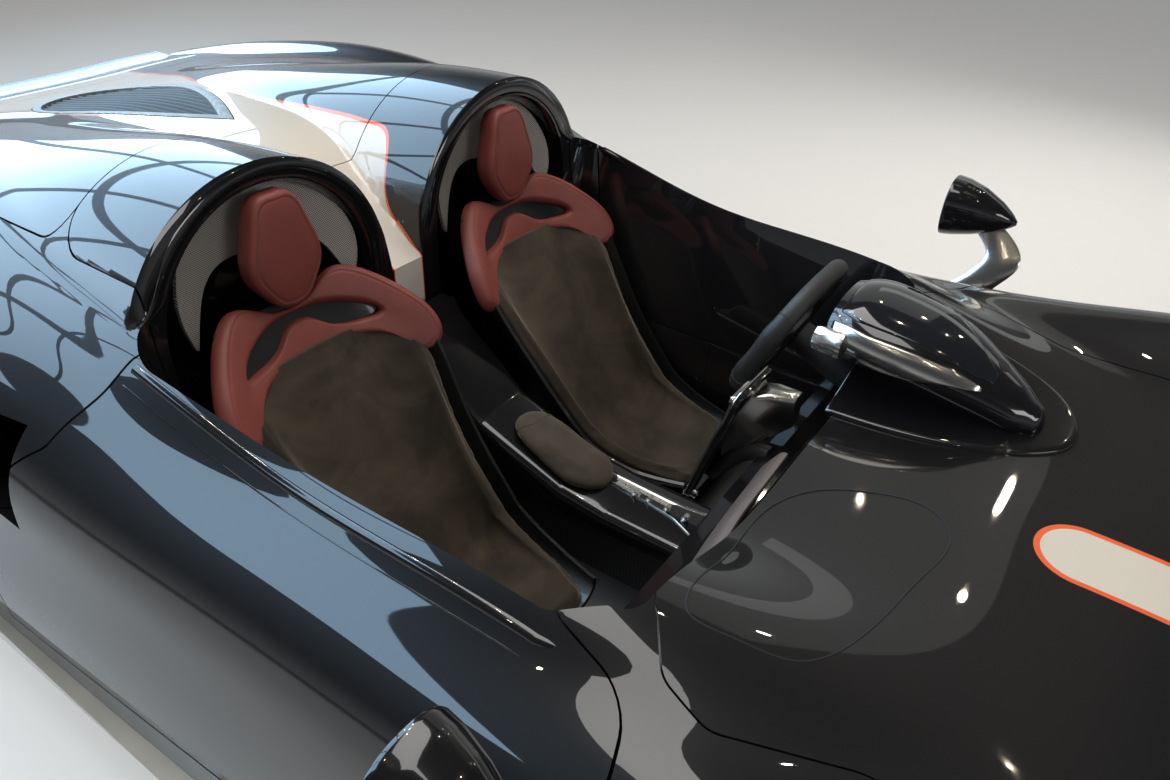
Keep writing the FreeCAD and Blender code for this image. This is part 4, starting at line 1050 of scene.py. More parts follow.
def makeLights():
    areaLight("top_box", (0.6, 0.6, 4.6), (0, 0.2, 0), (1.6, 4.2), 95, (1.0, 0.985, 0.96))
    areaLight("left_box", (4.4, -0.8, 2.8), (0, 0, 0.6), (1.4, 2.6), 60, (1.0, 0.97, 0.93), "glossy")
    for y0, y1, radiance in studio["wall"]:
        y, wide = (y0 + y1) / 2, y1 - y0
        areaLight("wall", (6.5, y, 3.4), (0, y, 0.8), (5.0, wide), radiance * math.pi * 5.0 * wide,
                  (0.97, 1.0, 0.95),
                  "diffuse")
    areaLight("front_box", (-0.8, -4.8, 2.8), (0, -0.4, 0.5), (2.4, 0.9), 42)
    # the panes of the window only show in the gloss, the fill below lights
    window = studio["window"]
    across, up, pane, gap = np.array(window["across"]), np.array(window["up"]), window["pane"], window["gap"]
    power = window["radiance"] * math.pi * pane[0] * pane[1]
    for column in range(window["columns"]):
        for row in range(window["rows"]):
            place = (np.array(window["place"]) + across * (column - 1.5) * (pane[0] + gap)
                     + up * (row - 1) * (pane[1] + gap))
            areaLight("pane_%d_%d" % (column, row), place, place + np.cross(across, up), pane, power,
                      (0.5, 0.75, 1.0),
                      "diffuse")
    areaLight("window_fill", (-4.6, 2.8, 3.0), (0, 0, 0.6), (4.0, 2.4), 190, (0.86, 0.93, 1.0), "glossy")
    for index, (x, y) in enumerate(studio["spots"]):
        spot = areaLight("spot_%d" % index, (x, y, 3.9), (x * 0.6, y * 0.6, 0), (0.07, 0.07), 3.2,
                         (1.0, 0.86, 0.66))
        spot.data.shape = "DISK"
    world = bpy.data.worlds.new("studio")
    world.use_nodes = True
    tree = world.node_tree
    way = tree.nodes.new("ShaderNodeTexCoord").outputs["Generated"]
    height = span(tree, addNode(tree, "ShaderNodeSeparateXYZ", {0: way}).outputs["Z"], 0.03, 0.34)
    tree.links.new(mixColours(tree, height, studio["horizon"], studio["overhead"]),
                   tree.nodes["Background"].inputs[0])
    bpy.context.scene.world = world


makeFloor()
makeLights()
bpy.context.scene.view_settings.view_transform = "Standard"
print("studio ready")


# seats
# spine rows: y, z, slope in degrees, half width, side height, pad thickness; the seat's own middle is x = 0
seat = {"x": 0.355, "wall": 0.009, "padGap": 0.0152, "rows": 190, "around": 132, "lean": 3.0,
        "spine": [(-0.165, 0.236, -16, 0.165, 0.04, 0.034), (-0.02, 0.21, -4, 0.2, 0.07, 0.038),
                  (0.12, 0.215, 14, 0.215, 0.11, 0.042), (0.225, 0.285, 46, 0.222, 0.118, 0.042),
                  (0.35, 0.465, 60, 0.238, 0.1, 0.04), (0.452, 0.64, 64, 0.254, 0.084, 0.034),
                  (0.54, 0.788, 70, 0.19, 0.04, 0.02)],
        "padEnd": 5.42, "frontRound": 0.085, "topRound": 0.15, "edgeRound": 0.019, "pipe": 0.02,
        "pipeHeight": 0.005,
        "voxel": 0.005, "pressure": 3.5, "cap": 0.006}
collar = {"radius": 0.44, "middle": -0.03, "origin": (0, 0.4, 0.64), "slope": 62.0, "thick": 0.04,
          "edge": 0.015, "stitch": 0.011, "slotStitch": 0.008,
          "outer": [(0, 181), (50, 189), (92, 211), (125, 220), (160, 204), (200, 165), (236, 112), (261, 58),
                    (268, 16), (258, -22), (238, -34), (217, -24), (199, 4), (172, 34), (140, 54), (100, 65),
                    (55, 69), (25, 69), (0, 69)],
          "slot": [(0, 166), (30, 165), (60, 161), (90, 152), (118, 139), (142, 126), (160, 113), (170, 103),
                   (173, 96), (170, 91), (162, 89), (150, 90), (132, 93), (112, 96), (90, 102), (62, 116),
                   (36, 140), (17, 150), (0, 152)]}
head = {"origin": (0, 0.536, 0.794), "tilt": 5.0, "front": 0.05, "back": -0.006, "band": 0.01,
        "outline": [(0, 232), (34, 229), (52, 210), (66, 172), (86, 98), (84, 76), (58, 30), (34, 4), (0, -4)],
        "halo": [(0, 236), (60, 233), (100, 226), (138, 207), (172, 174), (200, 128), (216, 84),
                 (219, 30), (204, -30)],
        "haloInner": [(0, 96), (40, 103), (75, 104), (105, 98), (132, 82), (152, 60), (168, 32),
                      (182, 0), (196, -36)],
        "haloPlace": -0.052, "haloThick": 0.008, "haloCurl": 0.9,
        # section from the middle of the face to the middle of the back: inset from the outline, share forward
        "profile": [(0.06, 1.0), (0.04, 1.0), (0.024, 0.995), (0.0175, 0.985), (0.0155, 0.965), (0.014, 0.955),
                    (0.0125, 0.965), (0.0105, 0.978), (0.008, 0.965), (0.0045, 0.93), (0.0018, 0.87),
                    (0.0004, 0.78), (0.0, 0.66), (0.0, 0.5), (0.0004, 0.34), (0.0018, 0.22), (0.006, 0.1),
                    (0.014, 0.02), (0.03, 0.0), (0.06, 0.0)]}
seatAt = smoothThrough(np.arange(len(seat["spine"])), seat["spine"])


def meshNormals(points):
    # unit normals of a grid of points from its two directions of change
    return unit(np.cross(np.gradient(points, axis=1), np.gradient(points, axis=0)))


def trough(t, p, grow=0.0):
    # bucket surface at spine station t and share p across: flat middle, sides rising ever more steeply
    y, z, slope, half, side, pad = np.moveaxis(seatAt(t), -1, 0)
    angle, quarter = np.radians(slope), math.pi / 2 * 0.93
    x = (half + grow) * np.sin(np.clip(p, -1, 1) * quarter) / math.sin(quarter)
    rise = side * np.abs(p) ** seat["lean"]
    return np.stack([x, y - rise * np.sin(angle), z + rise * np.cos(angle)], -1)


def spineLength(t):
    fine = np.linspace(0, 6, 241)
    return np.interp(t, fine, chords(seatAt(fine)[:, :2]))


def rounded(share):
    # quarter circle: 0 at share 0, 1 from share 1 on
    return np.sqrt(1 - np.clip(1 - share, 0, 1) ** 2)


def padShape(shrink):
    # closed cushion: rings across the trough, thickness from the distance to the rounded outline, raised rim
    rows = seat["rows"]
    u = np.linspace(0, 1, rows)
    t = seat["padEnd"] * (u - 0.035 * np.sin(2 * math.pi * u))
    s = spineLength(t)
    total = s[-1]
    half = seatAt(t)[:, 3] - seat["padGap"] - shrink
    cut = seat["frontRound"] * (1 - rounded(s / seat["frontRound"])) * 0.9 \
        + seat["topRound"] * (1 - rounded((total - s) / seat["topRound"])) * 0.9
    width = np.maximum((half - cut) / half, 0.02)[:, None] * 0.965
    angle = fullTurn(seat["around"])
    p = power(np.cos(angle), 0.9) * width
    base = trough(np.broadcast_to(t[:, None], p.shape), p, -seat["padGap"] - shrink)
    normal = meshNormals(trough(t[:, None], np.linspace(-1, 1, 81)[None]))
    column = (p + 1) / 2 * 80
    low = np.clip(np.floor(column).astype(int), 0, 79)
    part = (column - low)[..., None]
    row = np.arange(rows)[:, None]
    normal = normal[row, low] * (1 - part) + normal[row, low + 1] * part
    gap = np.minimum((width - np.abs(p)) * half[:, None] * 1.25, np.minimum(s, total - s)[:, None])
    pad = seatAt(t)[:, 5][:, None] * np.clip((total - s + 0.05) / 0.16, 0.62, 1)[:, None]
    pipe = seat["pipeHeight"] * np.exp(-((gap - seat["pipe"] * 0.55) / (seat["pipe"] * 0.33)) ** 2)
    crown = 0.004 * np.clip(gap / 0.12, 0, 1)
    top = (pad * 0.82 - shrink) * rounded(gap / seat["edgeRound"]) + pipe + crown
    offset = np.where(np.sin(angle) >= -1e-9, top, 0.0) + 0.006 + shrink
    offset = np.where(gap < 1e-4, 0.006 + shrink + 0.002, offset)
    return base + normal * offset[..., None]


def simulateCushion(piece, voxel, pressure, cap, frames=20):
    # remesh, let a pressurised cloth settle with no gravity, and cap how far each point moves
    remesh = piece.modifiers.new("remesh", "REMESH")
    remesh.mode = "VOXEL"
    remesh.voxel_size = voxel
    applyModifiers(piece)
    before = np.empty(len(piece.data.vertices) * 3, dtype=np.float32)
    piece.data.vertices.foreach_get("co", before)
    cloth = piece.modifiers.new("cloth", "CLOTH")
    for word, value in (("use_pressure", True), ("uniform_pressure_force", pressure), ("quality", 5),
                        ("tension_stiffness", 25), ("compression_stiffness", 25),
                        ("bending_stiffness", 2.0), ("mass", 0.35)):
        setattr(cloth.settings, word, value)
    cloth.settings.effector_weights.gravity = 0
    cloth.collision_settings.use_collision = False
    cloth.point_cache.frame_start = 1
    cloth.point_cache.frame_end = frames
    for number in range(1, frames + 1):
        bpy.context.scene.frame_set(number)
    after = np.empty_like(before)
    solved = piece.evaluated_get(bpy.context.evaluated_depsgraph_get())
    solved.data.vertices.foreach_get("co", after)
    piece.modifiers.clear()
    move = (after - before).reshape(-1, 3)
    length = np.linalg.norm(move, axis=1, keepdims=True)
    move *= np.minimum(1, cap / np.maximum(length, 1e-9))
    piece.data.vertices.foreach_set("co", (before.reshape(-1, 3) + move).ravel())
    bpy.context.scene.frame_set(1)
    smooth = piece.modifiers.new("smooth", "SMOOTH")
    smooth.factor = 0.5
    smooth.iterations = 4
    applyModifiers(piece)
    tidy(piece.data, 60, 0, False)


def tilted(flat, lift, origin, degrees, sideways=None):
    # plan (u, v) and lift over it into the car's frame, for a plane that leans back by the angle from level
    slope = math.radians(degrees)
    up, out = np.array([0, math.cos(slope), math.sin(slope)]), np.array([0, -math.sin(slope), math.cos(slope)])
    u = flat[..., :1] if sideways is None else sideways[..., None]
    return np.asarray(origin) + u * np.array([1.0, 0, 0]) + flat[..., 1:] * up + lift[..., None] * out


def collarSurface(flat, lift):
    # point of the collar: v up the back, wrapped about an upright cylinder in front of it, lifted off its surface
    angle = np.arcsin(np.clip(flat[..., 0] / collar["radius"], -0.95, 0.95))
    reach = collar["radius"] - lift
    w = collar["radius"] + collar["middle"] - reach * np.cos(angle)
    return tilted(flat, w, collar["origin"], collar["slope"], reach * np.sin(angle))


def mirroredKeys(half):
    half = np.asarray(half, float) * mm
    return np.concatenate([half, (half * (-1, 1))[::-1][1:-1]])


def stitchRun(points, normals, pitch=0.0046, length=0.003, thick=0.0009):
    # short thread stitches along a line: each is a small six-sided lozenge that dips at both ends
    way = chords(points)
    count = max(int(way[-1] / pitch), 2)
    spots = (np.arange(count) + 0.5) * way[-1] / count

    def along(values, spot):
        return np.stack([np.interp(spot, way, values[:, k]) for k in range(3)], -1)

    up = unit(along(normals, spots))[:, None, None]
    forward = unit(along(points, spots + length / 2) - along(points, spots - length / 2))[:, None, None]
    side = np.cross(up, forward)
    share = np.array([-0.5, -0.3, 0.3, 0.5])[:, None, None] * length
    swell = np.array([0.35, 1.0, 1.0, 0.35])[:, None, None] * thick / 2
    angle = fullTurn(6)[:, None]
    cloud = along(points, spots)[:, None, None] + share * forward \
        + swell * (np.cos(angle) * side + (np.sin(angle) + 0.5) * up)
    faces = gridFaces(4, 6, False, True) + (np.arange(count) * 24)[:, None, None]
    return cloud.reshape(-1, 3), faces.reshape(-1, 4)


def stitchPiece(name, runs):
    clouds, faces, start = [], [], 0
    for points, normals in runs:
        cloud, quads = stitchRun(points, normals)
        clouds.append(cloud)
        faces.append(quads + start)
        start += len(cloud)
    mesh = quadMesh(name, np.concatenate(clouds), np.concatenate(faces))
    tidy(mesh, 80, 0, True)
    return linkMesh(name, mesh)


def collarShape():
    # ring-shaped cushion: from the slot's edge to the outer edge on the front, and back behind
    outerKeys, slotKeys = mirroredKeys(collar["outer"]), mirroredKeys(collar["slot"])
    outer, slot = smoothLoop(outerKeys, 300), smoothLoop(slotKeys, 300, outerKeys)
    length = np.linalg.norm(outer - slot, axis=1)[None]
    share = ((1 - np.cos(np.linspace(0, math.pi, 44))) / 2)[:, None]
    outerGap = (1 - share) * length
    roundness = rounded(np.minimum(share * length, outerGap) / np.minimum(collar["edge"], length * 0.5))
    seamLine = (np.exp(-((outerGap - collar["stitch"] * 1.25) / 0.0022) ** 2)
                * np.clip(length / 0.05 - 0.6, 0, 1))
    puff = 0.004 * np.sin(math.pi * share) * np.clip(length / 0.1, 0, 1)
    half = collar["thick"] / 2
    flat = slot[None] + (outer - slot)[None] * share[..., None]
    top = collarSurface(flat, half * roundness + puff - 0.0022 * seamLine - half)
    low = collarSurface(flat, -half * roundness - half)
    return np.concatenate([top, low[::-1][1:-1]]), length, share


def headSurface(flat, lift):
    return tilted(flat, lift, head["origin"], 90 - head["tilt"])


def headrestShape():
    # tapered six-sided cushion: rings from the middle of the face over the rim to the middle of the back
    outline = smoothLoop(mirroredKeys(head["outline"]), 240)
    centre = np.array([0, 0.118])
    reach = np.linalg.norm(outline - centre, axis=1)[None]
    inset, forward = np.array(head["profile"]).T[..., None]
    tip = np.full((1, 240), 0.0003)
    scale = np.concatenate([tip, (reach - inset) / reach, tip])
    forward = np.concatenate([[[1.0]], forward, [[0.0]]])
    flat = centre + (outline - centre)[None] * scale[..., None]
    crown = 0.006 * (1 - np.clip(np.linalg.norm(flat - centre, axis=-1) / 0.12, 0, 1) ** 2)
    w = head["back"] + (head["front"] - head["back"]) * forward + crown * (forward > 0.5)
    return headSurface(flat, w)


def haloShape():
    # horseshoe panel between its inner and outer arches, curling forward towards its sides
    inner, outer = (smoothLine(np.concatenate([np.array(head[word])[::-1] * (-1, 1),
                                               head[word][1:]]) * mm, 220)
                    for word in ("haloInner", "halo"))
    share = np.linspace(0, 1, 16)[:, None, None]
    flat = inner[None] + (outer - inner)[None] * share
    bend = head["haloPlace"] + head["haloCurl"] * flat[..., 0] ** 2
    lip = 0.0025 * np.exp(-((1 - share[..., 0]) / 0.05) ** 2)
    front, back = headSurface(flat, bend + lip), headSurface(flat, bend - head["haloThick"])
    return np.concatenate([front, back[::-1]]).transpose(1, 0, 2)


def closedLine(points, normals):
    return np.concatenate([points, points[:1]]), np.concatenate([normals, normals[:1]])


def atSeat(piece, side, name):
    mesh = piece.data.copy()
    mesh.name = name
    mesh.transform(Matrix.Translation((side * seat["x"], 0, 0)))
    return linkMesh(name, mesh)


def makeSeats():
    # both seats are one shape, moved sideways
    inside = trough(*np.meshgrid(np.linspace(-0.03, 6.0, 120), np.linspace(-1, 1, 61), indexing="ij"))
    behind = inside + meshNormals(inside) * seat["wall"]
    shell = closedPiece("shellForm", np.concatenate([inside, behind[:, ::-1]], axis=1), 40)
    pad = closedPiece("padForm", padShape(0.002), 60)
    simulateCushion(pad, seat["voxel"], seat["pressure"], seat["cap"])
    grid, length, share = collarShape()
    wing = gridPiece("collarForm", [(grid, True, True)], 60)
    rim = []
    column = np.arange(grid.shape[1])
    for distance, outside in ((collar["stitch"], True), (collar["slotStitch"], False)):
        line = np.clip(distance / length[0], 0.02, 0.46)
        rows = np.interp(1 - line if outside else line, share[:, 0], np.arange(len(share)))
        low = rows.astype(int)
        part = (rows - low)[:, None]
        spot = grid[low, column] * (1 - part) + grid[np.minimum(low + 1, len(share) - 1), column] * part
        normals = meshNormals(grid[:len(share)])[low, column]
        side = np.sign(np.sum(normals * np.array([0, -0.883, 0.469]), axis=1, keepdims=True))
        rim.append(closedLine(spot, normals * side))
    restGrid = headrestShape()
    rest = gridPiece("restForm", [(restGrid, False, True)], 60, 1e-4)
    out = headSurface(np.zeros((1, 2)), np.ones(1))[0] - np.asarray(head["origin"])
    for row in (4, 9):
        rim.append(closedLine(restGrid[row], np.broadcast_to(out, restGrid[row].shape)))
    trims = []
    for x in (-1, 1):
        outline = roundedLoop(np.array([(x * 150, 92), (x * 138, 112), (x * 100, 131), (x * 92, 125),
                                        (x * 112, 106)]) * mm, 0.004, 5)[::x]
        flat = np.broadcast_to(outline, (2, *outline.shape))
        lift = np.broadcast_to(np.array([-0.046, -0.034])[:, None], flat.shape[:2])
        trims.append(closedPiece("trimForm", collarSurface(flat, lift)))
    forms = {"seat_shell": (shell, "shellBlack", "carbon", "seat_shells"),
             "seat_pad": (pad, "suede", "suede", "seat_pads"),
             "seat_collar": (wing, "redLeather", "red_leather", "seat_collars"),
             "headrest": (rest, "redLeather", "red_leather", "headrests"),
             "headrest_halo": (closedPiece("haloForm", haloShape(), 40), "perforated", "silver_trim",
                               "headrest_halos"),
             "seat_thread": (stitchPiece("threadForm", rim), "redThread", "red_leather", None),
             "seat_trim": (joinPieces("trimForm", trims), "brushedSilver", "silver_trim", None)}
    for name, (form, material, slot, node) in forms.items():
        both = [atSeat(form, side, name + "_" + word) for word, side in leftAndRight]
        for piece in both:
            dress(piece, material, slot)
        if node:
            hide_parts(node)
        remove(form)


makeSeats()
print("seats made")


# cockpit trim
def bodyTop(x, y):
    # height of the body's upper surface at plan points, from the sections at those stations
    x, y = np.broadcast_arrays(np.asarray(x, float), np.asarray(y, float))
    shape = x.shape
    flatX, flatY = np.abs(x.ravel()), y.ravel()
    line = sectionLine(keyPoints(flatY, np.zeros(len(flatY))), [6] * 16)[:, 48:48 + 25]
    out = np.array([np.interp(a, row[:, 0], row[:, 1]) for a, row in zip(flatX, line)]).reshape(shape)
    return np.where(y > body["hoopFront"], smoothMax(out, hoopTop(x, y), body["hoopBlend"]), out)


def onSkin(flat, lift):
    # plan points on the body's upper surface, lifted off it
    return level(flat, bodyTop(flat[:, 0], flat[:, 1]) + lift)


def skinRings(outline, centre, steps):
    # rings on the skin from an outline towards a centre, each a scale and a lift
    return np.stack([onSkin(centre + (outline - centre) * scale, lift) for scale, lift in steps])


def sweepGrid(path, radius, around=18, closed=False, up=(0, 0, 1), flat=1.0):
    # rings about a path: radius may change along it; flat squeezes the rings along the up direction
    path = np.asarray(path, float)
    tangent = np.roll(path, -1, axis=0) - np.roll(path, 1, axis=0) if closed else np.gradient(path, axis=0)
    tangent = unit(tangent)
    side = unit(np.cross(tangent, np.broadcast_to(up, path.shape)))
    rise = np.cross(side, tangent)
    angle = fullTurn(around)[None, :, None]
    radius = np.broadcast_to(radius, (len(path),))[:, None, None]
    return path[:, None] + radius * (np.cos(angle) * side[:, None] + flat * np.sin(angle) * rise[:, None])


def tubePiece(name, path, radius, around=18, closed=False, up=(0, 0, 1), flat=1.0):
    grid = sweepGrid(path, radius, around, closed, up, flat)
    return gridPiece(name, [(grid, True, True)], 40) if closed else closedPiece(name, grid, 40)


def leaning(points, origin, degrees):
    # local (right, up, out) coordinates into the car's frame, for a plane that leans back from upright
    tilt = math.radians(degrees)
    axes = np.array([(1, 0, 0), (0, -math.sin(tilt), math.cos(tilt)), (0, math.cos(tilt), math.sin(tilt))])
    return np.asarray(origin) + points @ axes


console = {"half": 0.092, "foot": 0.3003, "round": 0.024,
           "top": [(-0.4, 0.348), (-0.1, 0.35), (0.02, 0.364), (0.25, 0.445), (0.44, 0.6), (0.47, 0.64),
                   (0.5, 0.64)]}
armrest = {"y": (-0.06, 0.2), "half": 0.066, "rise": 0.036}
switches = {"place": [(0.013, -0.122), (0.014, -0.159), (0.012, -0.207), (0.008, -0.255)],
            "button": (0.026, -0.302),
            "outline": [(0.013, -0.036), (0.046, -0.04), (0.047, -0.241), (0.056, -0.3), (0.082, -0.336),
                        (-0.066, -0.336), (-0.03, -0.288), (-0.006, -0.235), (0.006, -0.154)]}


def consoleTop(y):
    return np.interp(y, *np.array(console["top"]).T)


def makeConsole():
    # rounded bar along the tunnel: flat top with a soft shoulder, its height following the console's line
    y = np.unique(np.concatenate([np.linspace(-0.3997, 0.4997, 90)]
                                 + [[row[0]] for row in console["top"][1:-1]]))
    half, foot = console["half"], console["foot"]
    rings = []
    for station, z in zip(y, consoleTop(y)):
        shoulder = min(console["round"], (z - foot) * 0.45)
        rings.append(crossways(roundedLoop([(-half, foot), (half, foot), (half, z), (-half, z)],
                                           [0.003, 0.003, shoulder, shoulder], 8), station))
    dress(closedPiece("console_skin", np.stack(rings), 40), "gloss", "black_gloss", "centre_console")


def armrestPlan(y):
    # share along the rest, -1 to 1, and the share of its width and height left there
    y0, y1 = armrest["y"]
    share = (y - y0) / (y1 - y0) * 2 - 1
    return share, np.clip(1 - np.abs(share) ** 3.4, 0, 1) ** 0.5


def makeArmrest():
    # padded rest: rings along the console, half ellipse above a flat foot, ends rounded in plan
    y = np.linspace(*armrest["y"], 70)[:, None]
    share, plan = armrestPlan(y)
    plan = np.maximum(plan, 0.03)
    turn = fullTurn(72)
    x, up = power(np.cos(turn), 0.62), power(np.sin(turn), 0.75)
    wide = armrest["half"] * plan * (1 - 0.1 * share) * x
    z = consoleTop(y) + 0.001 + armrest["rise"] * plan ** 0.8 * (0.42 + 0.58 * up)
    piece = closedPiece("armrest_pad", np.stack([wide, y + 0 * wide, z], -1), 60)
    simulateCushion(piece, 0.004, 3.0, 0.004)
    dress(piece, "suedeTrim", "suede", "armrest")
    # flap seam: a raised edge across the rear end, stepping back along the left side
    line = smoothLine([(0.052, 0.146), (0.02, 0.146), (-0.012, 0.15), (-0.03, 0.158), (-0.046, 0.166),
                       (-0.058, 0.15)], 60)
    share, plan = armrestPlan(line[:, 1])
    width = armrest["half"] * plan * (1 - 0.1 * share)
    cosine = np.clip(np.abs(line[:, 0]) / width, 0, 0.995) ** (1 / 0.62)
    up = np.sin(np.arccos(cosine)) ** 0.75
    z = consoleTop(line[:, 1]) + 0.001 + armrest["rise"] * plan ** 0.8 * (0.42 + 0.58 * up) + 0.0006
    dress(tubePiece("armrest_welt", level(line, z), 0.0016, 8), "suedeTrim", "suede")


def makeSwitches():
    # silver trough that flares towards the dash, with a rolled edge, toggles and an oval button
    outline = roundedLoop(switches["outline"], [0.006, 0.006, 0.03, 0.03, 0.004, 0.004, 0.03, 0.03, 0.03], 7)
    steps = [(1.0, -0.004), (1.0, 0.0014), (0.985, 0.0032), (0.955, 0.0036), (0.93, 0.003), (0.9, 0.0008),
             (0.84, -0.0006), (0.6, -0.001), (0.3, -0.001), (0.01, -0.001)]
    spread = smoothLine([(0.0295, -0.04), (0.027, -0.15), (0.02, -0.24), (0.015, -0.335)], 60)
    middle = np.column_stack([np.interp(-outline[:, 1], -spread[:, 1], spread[:, 0]),
                              np.clip(outline[:, 1], -0.322, -0.052)])
    rings = []
    for scale, lift in steps:
        flat = middle + (outline - middle) * scale
        rings.append(level(flat, consoleTop(flat[:, 1]) + lift))
    dress(gridPiece("switch_trough", [(np.stack(rings), False, True)], 50), "brushedSilver", "silver_trim",
          "switch_panel")
    parts = []
    for x, y in switches["place"]:
        place = np.array([x, y, float(consoleTop(y))])
        for low, high, r0, r1 in ((-0.002, 0.004, 0.0105, 0.0095), (0.004, 0.016, 0.0055, 0.0075)):
            z = np.linspace(low, high, 6)
            rings = turnedRings(zip(np.linspace(r0, r1, 6), z), 24, squash=0.8) + place
            rings[..., 1] -= 0.006 * np.clip(z[:, None] / 0.016, 0, 1)
            parts.append(closedPiece("toggle", rings, 40))
    x, y = switches["button"]
    profile = [(1.0, -0.001), (1.0, 0.004), (0.93, 0.0052), (0.8, 0.0052), (0.74, 0.003), (0.45, 0.0036),
               (0.02, 0.004)]
    rings = turnedRings(profile, 40) * (0.015, 0.0095, 1) + (x, y, float(consoleTop(y)))
    parts.append(closedPiece("toggle", rings, 40))
    dress(joinPieces("switch_toggles", parts), "satinSilver", "silver_trim")


makeConsole()
makeArmrest()
makeSwitches()


# instrument pod: stations y, middle x, half width, underside z, top z
pod = {"rows": [(-0.412, 0.355, 0.122, 0.715, 0.832), (-0.45, 0.354, 0.136, 0.712, 0.842),
                (-0.52, 0.35, 0.142, 0.704, 0.842), (-0.62, 0.342, 0.13, 0.69, 0.826),
                (-0.7, 0.332, 0.105, 0.678, 0.798), (-0.77, 0.32, 0.074, 0.668, 0.764),
                (-0.805, 0.314, 0.055, 0.664, 0.744), (-0.828, 0.31, 0.037, 0.665, 0.729),
                (-0.84, 0.308, 0.021, 0.669, 0.715), (-0.845, 0.307, 0.004, 0.682, 0.698)],
       "fairing": [(0.14, -0.47), (0.2, -0.8), (0.3, -0.905), (0.4, -0.88), (0.52, -0.62), (0.56, -0.47)]}
podAt = smoothThrough(np.array([-row[0] for row in pod["rows"]]), np.array(pod["rows"]))


def podSurface(y, turn, lift=0.0):
    # teardrop: superellipse sections, flatter on top, drawn in below; lift moves the skin outwards
    x, half, low, high = np.moveaxis(podAt(-np.asarray(y, float)), -1, 0)[1:]
    middle = low + (high - low) * 0.46
    sine = np.sin(turn)
    wide = power(np.cos(turn), 0.86) * np.where(sine < 0, 1 - 0.35 * np.abs(sine), 1.0)
    tall = power(sine, 0.9) * np.where(sine > 0, high - middle + lift, middle - low + 0.02)
    return np.stack([x + (half + lift) * wide, y + 0 * turn, middle + tall], -1)


def podPatch(name, stations, ranges, lift, edge=0.05):
    # raised field of the pod's skin between two angles that change along it, rounded off at its border
    along = np.linspace(0, 1, 60)[:, None]
    y = np.linspace(*stations, 60)[:, None]
    share = np.linspace(0, 1, 40)[None]
    at, low, high = np.array(ranges).T
    low, high = np.interp(-y, -at, low), np.interp(-y, -at, high)
    inside = np.minimum(np.minimum(share, 1 - share) / edge, np.minimum(along, 1 - along) / (edge * 0.6))
    top = podSurface(y + 0 * share, np.radians(low + (high - low) * share))
    normal = meshNormals(top)
    normal *= np.sign(np.sum(normal * (top - np.array([0.33, -0.6, 0.7])), axis=-1, keepdims=True))
    outside = top + normal * (lift * rounded(inside) - 0.0008)[..., None]
    under = top - normal * 0.002
    return closedPiece(name, np.concatenate([outside, under[:, ::-1]], axis=1), 60)


def makePod():
    y = -np.concatenate([[0.4125, 0.413], np.linspace(0.415, 0.81, 60),
                         np.linspace(0.815, 0.845, 16)])[:, None]
    turn = fullTurn(96)[None]
    rings = podSurface(y + 0 * turn, turn + 0 * y)
    rear = rings[0].mean(axis=0)
    hood = [rear + (rings[0] - rear) * scale + np.array([0, back, 0]) for scale, back in
            ((0.6, -0.03), (0.86, -0.03), (0.905, -0.02), (0.93, -0.001), (0.955, 0.004), (0.985, 0.0035))]
    dress(closedPiece("pod_body", np.concatenate([np.stack(hood), rings]), 50), "gloss", "black_gloss",
          "instrument_pod")
    dress(podPatch("pod_glass", (-0.424, -0.742), [(-0.424, 58, 132), (-0.47, 48, 140), (-0.6, 58, 136),
                                                   (-0.7, 88, 134), (-0.742, 108, 126)], 0.003),
          "screen", "black_gloss")
    dress(podPatch("pod_cowl", (-0.418, -0.726), [(-0.418, 146, 214), (-0.5, 150, 200), (-0.6, 146, 182),
                                                  (-0.7, 143, 160), (-0.726, 144, 150)], 0.006, 0.1),
          "satinSilver", "silver_trim")
    # ridged knob at the rear end of the cowl
    profile = [(0.001, 0.034), (0.018, 0.034), (0.024, 0.031), (0.026, 0.024), (0.027, 0.01), (0.027, -0.012),
               (0.029, -0.016), (0.0295, -0.03)]
    knob = turnedRings(profile, 96, (0, 2, 1))
    knob[:4, :, ::2] *= (1 - 0.1 * np.abs(np.sin(turn[0] * 4)) ** 0.6)[:, None]
    dress(closedPiece("pod_knob", knob + (0.222, -0.428, 0.772), 40), "brushedSilver", "silver_trim")
    # small oval sensor on the nose
    turn = fullTurn(40)
    spots = [podSurface(-0.742 + s * 0.012 * np.sin(turn), np.radians(84) + s * 0.16 * np.cos(turn), lift)
             for s, lift in ((1.0, -0.001), (1.0, 0.0012), (0.8, 0.0018), (0.1, 0.0018))]
    dress(closedPiece("pod_sensor", np.stack(spots), 40), "blackPlastic", "black_plastic")
    rings = skinRings(smoothLine(pod["fairing"], 70), np.array([0.34, -0.62]),
                      ((1.0, -0.006), (1.0, 0.0035), (0.992, 0.0062), (0.975, 0.0078), (0.94, 0.0085),
                       (0.6, 0.0085), (0.3, 0.0085)))
    dress(closedPiece("pod_fairing", rings, 50), "gloss", "black_gloss")


makePod()
print("console and pod made")


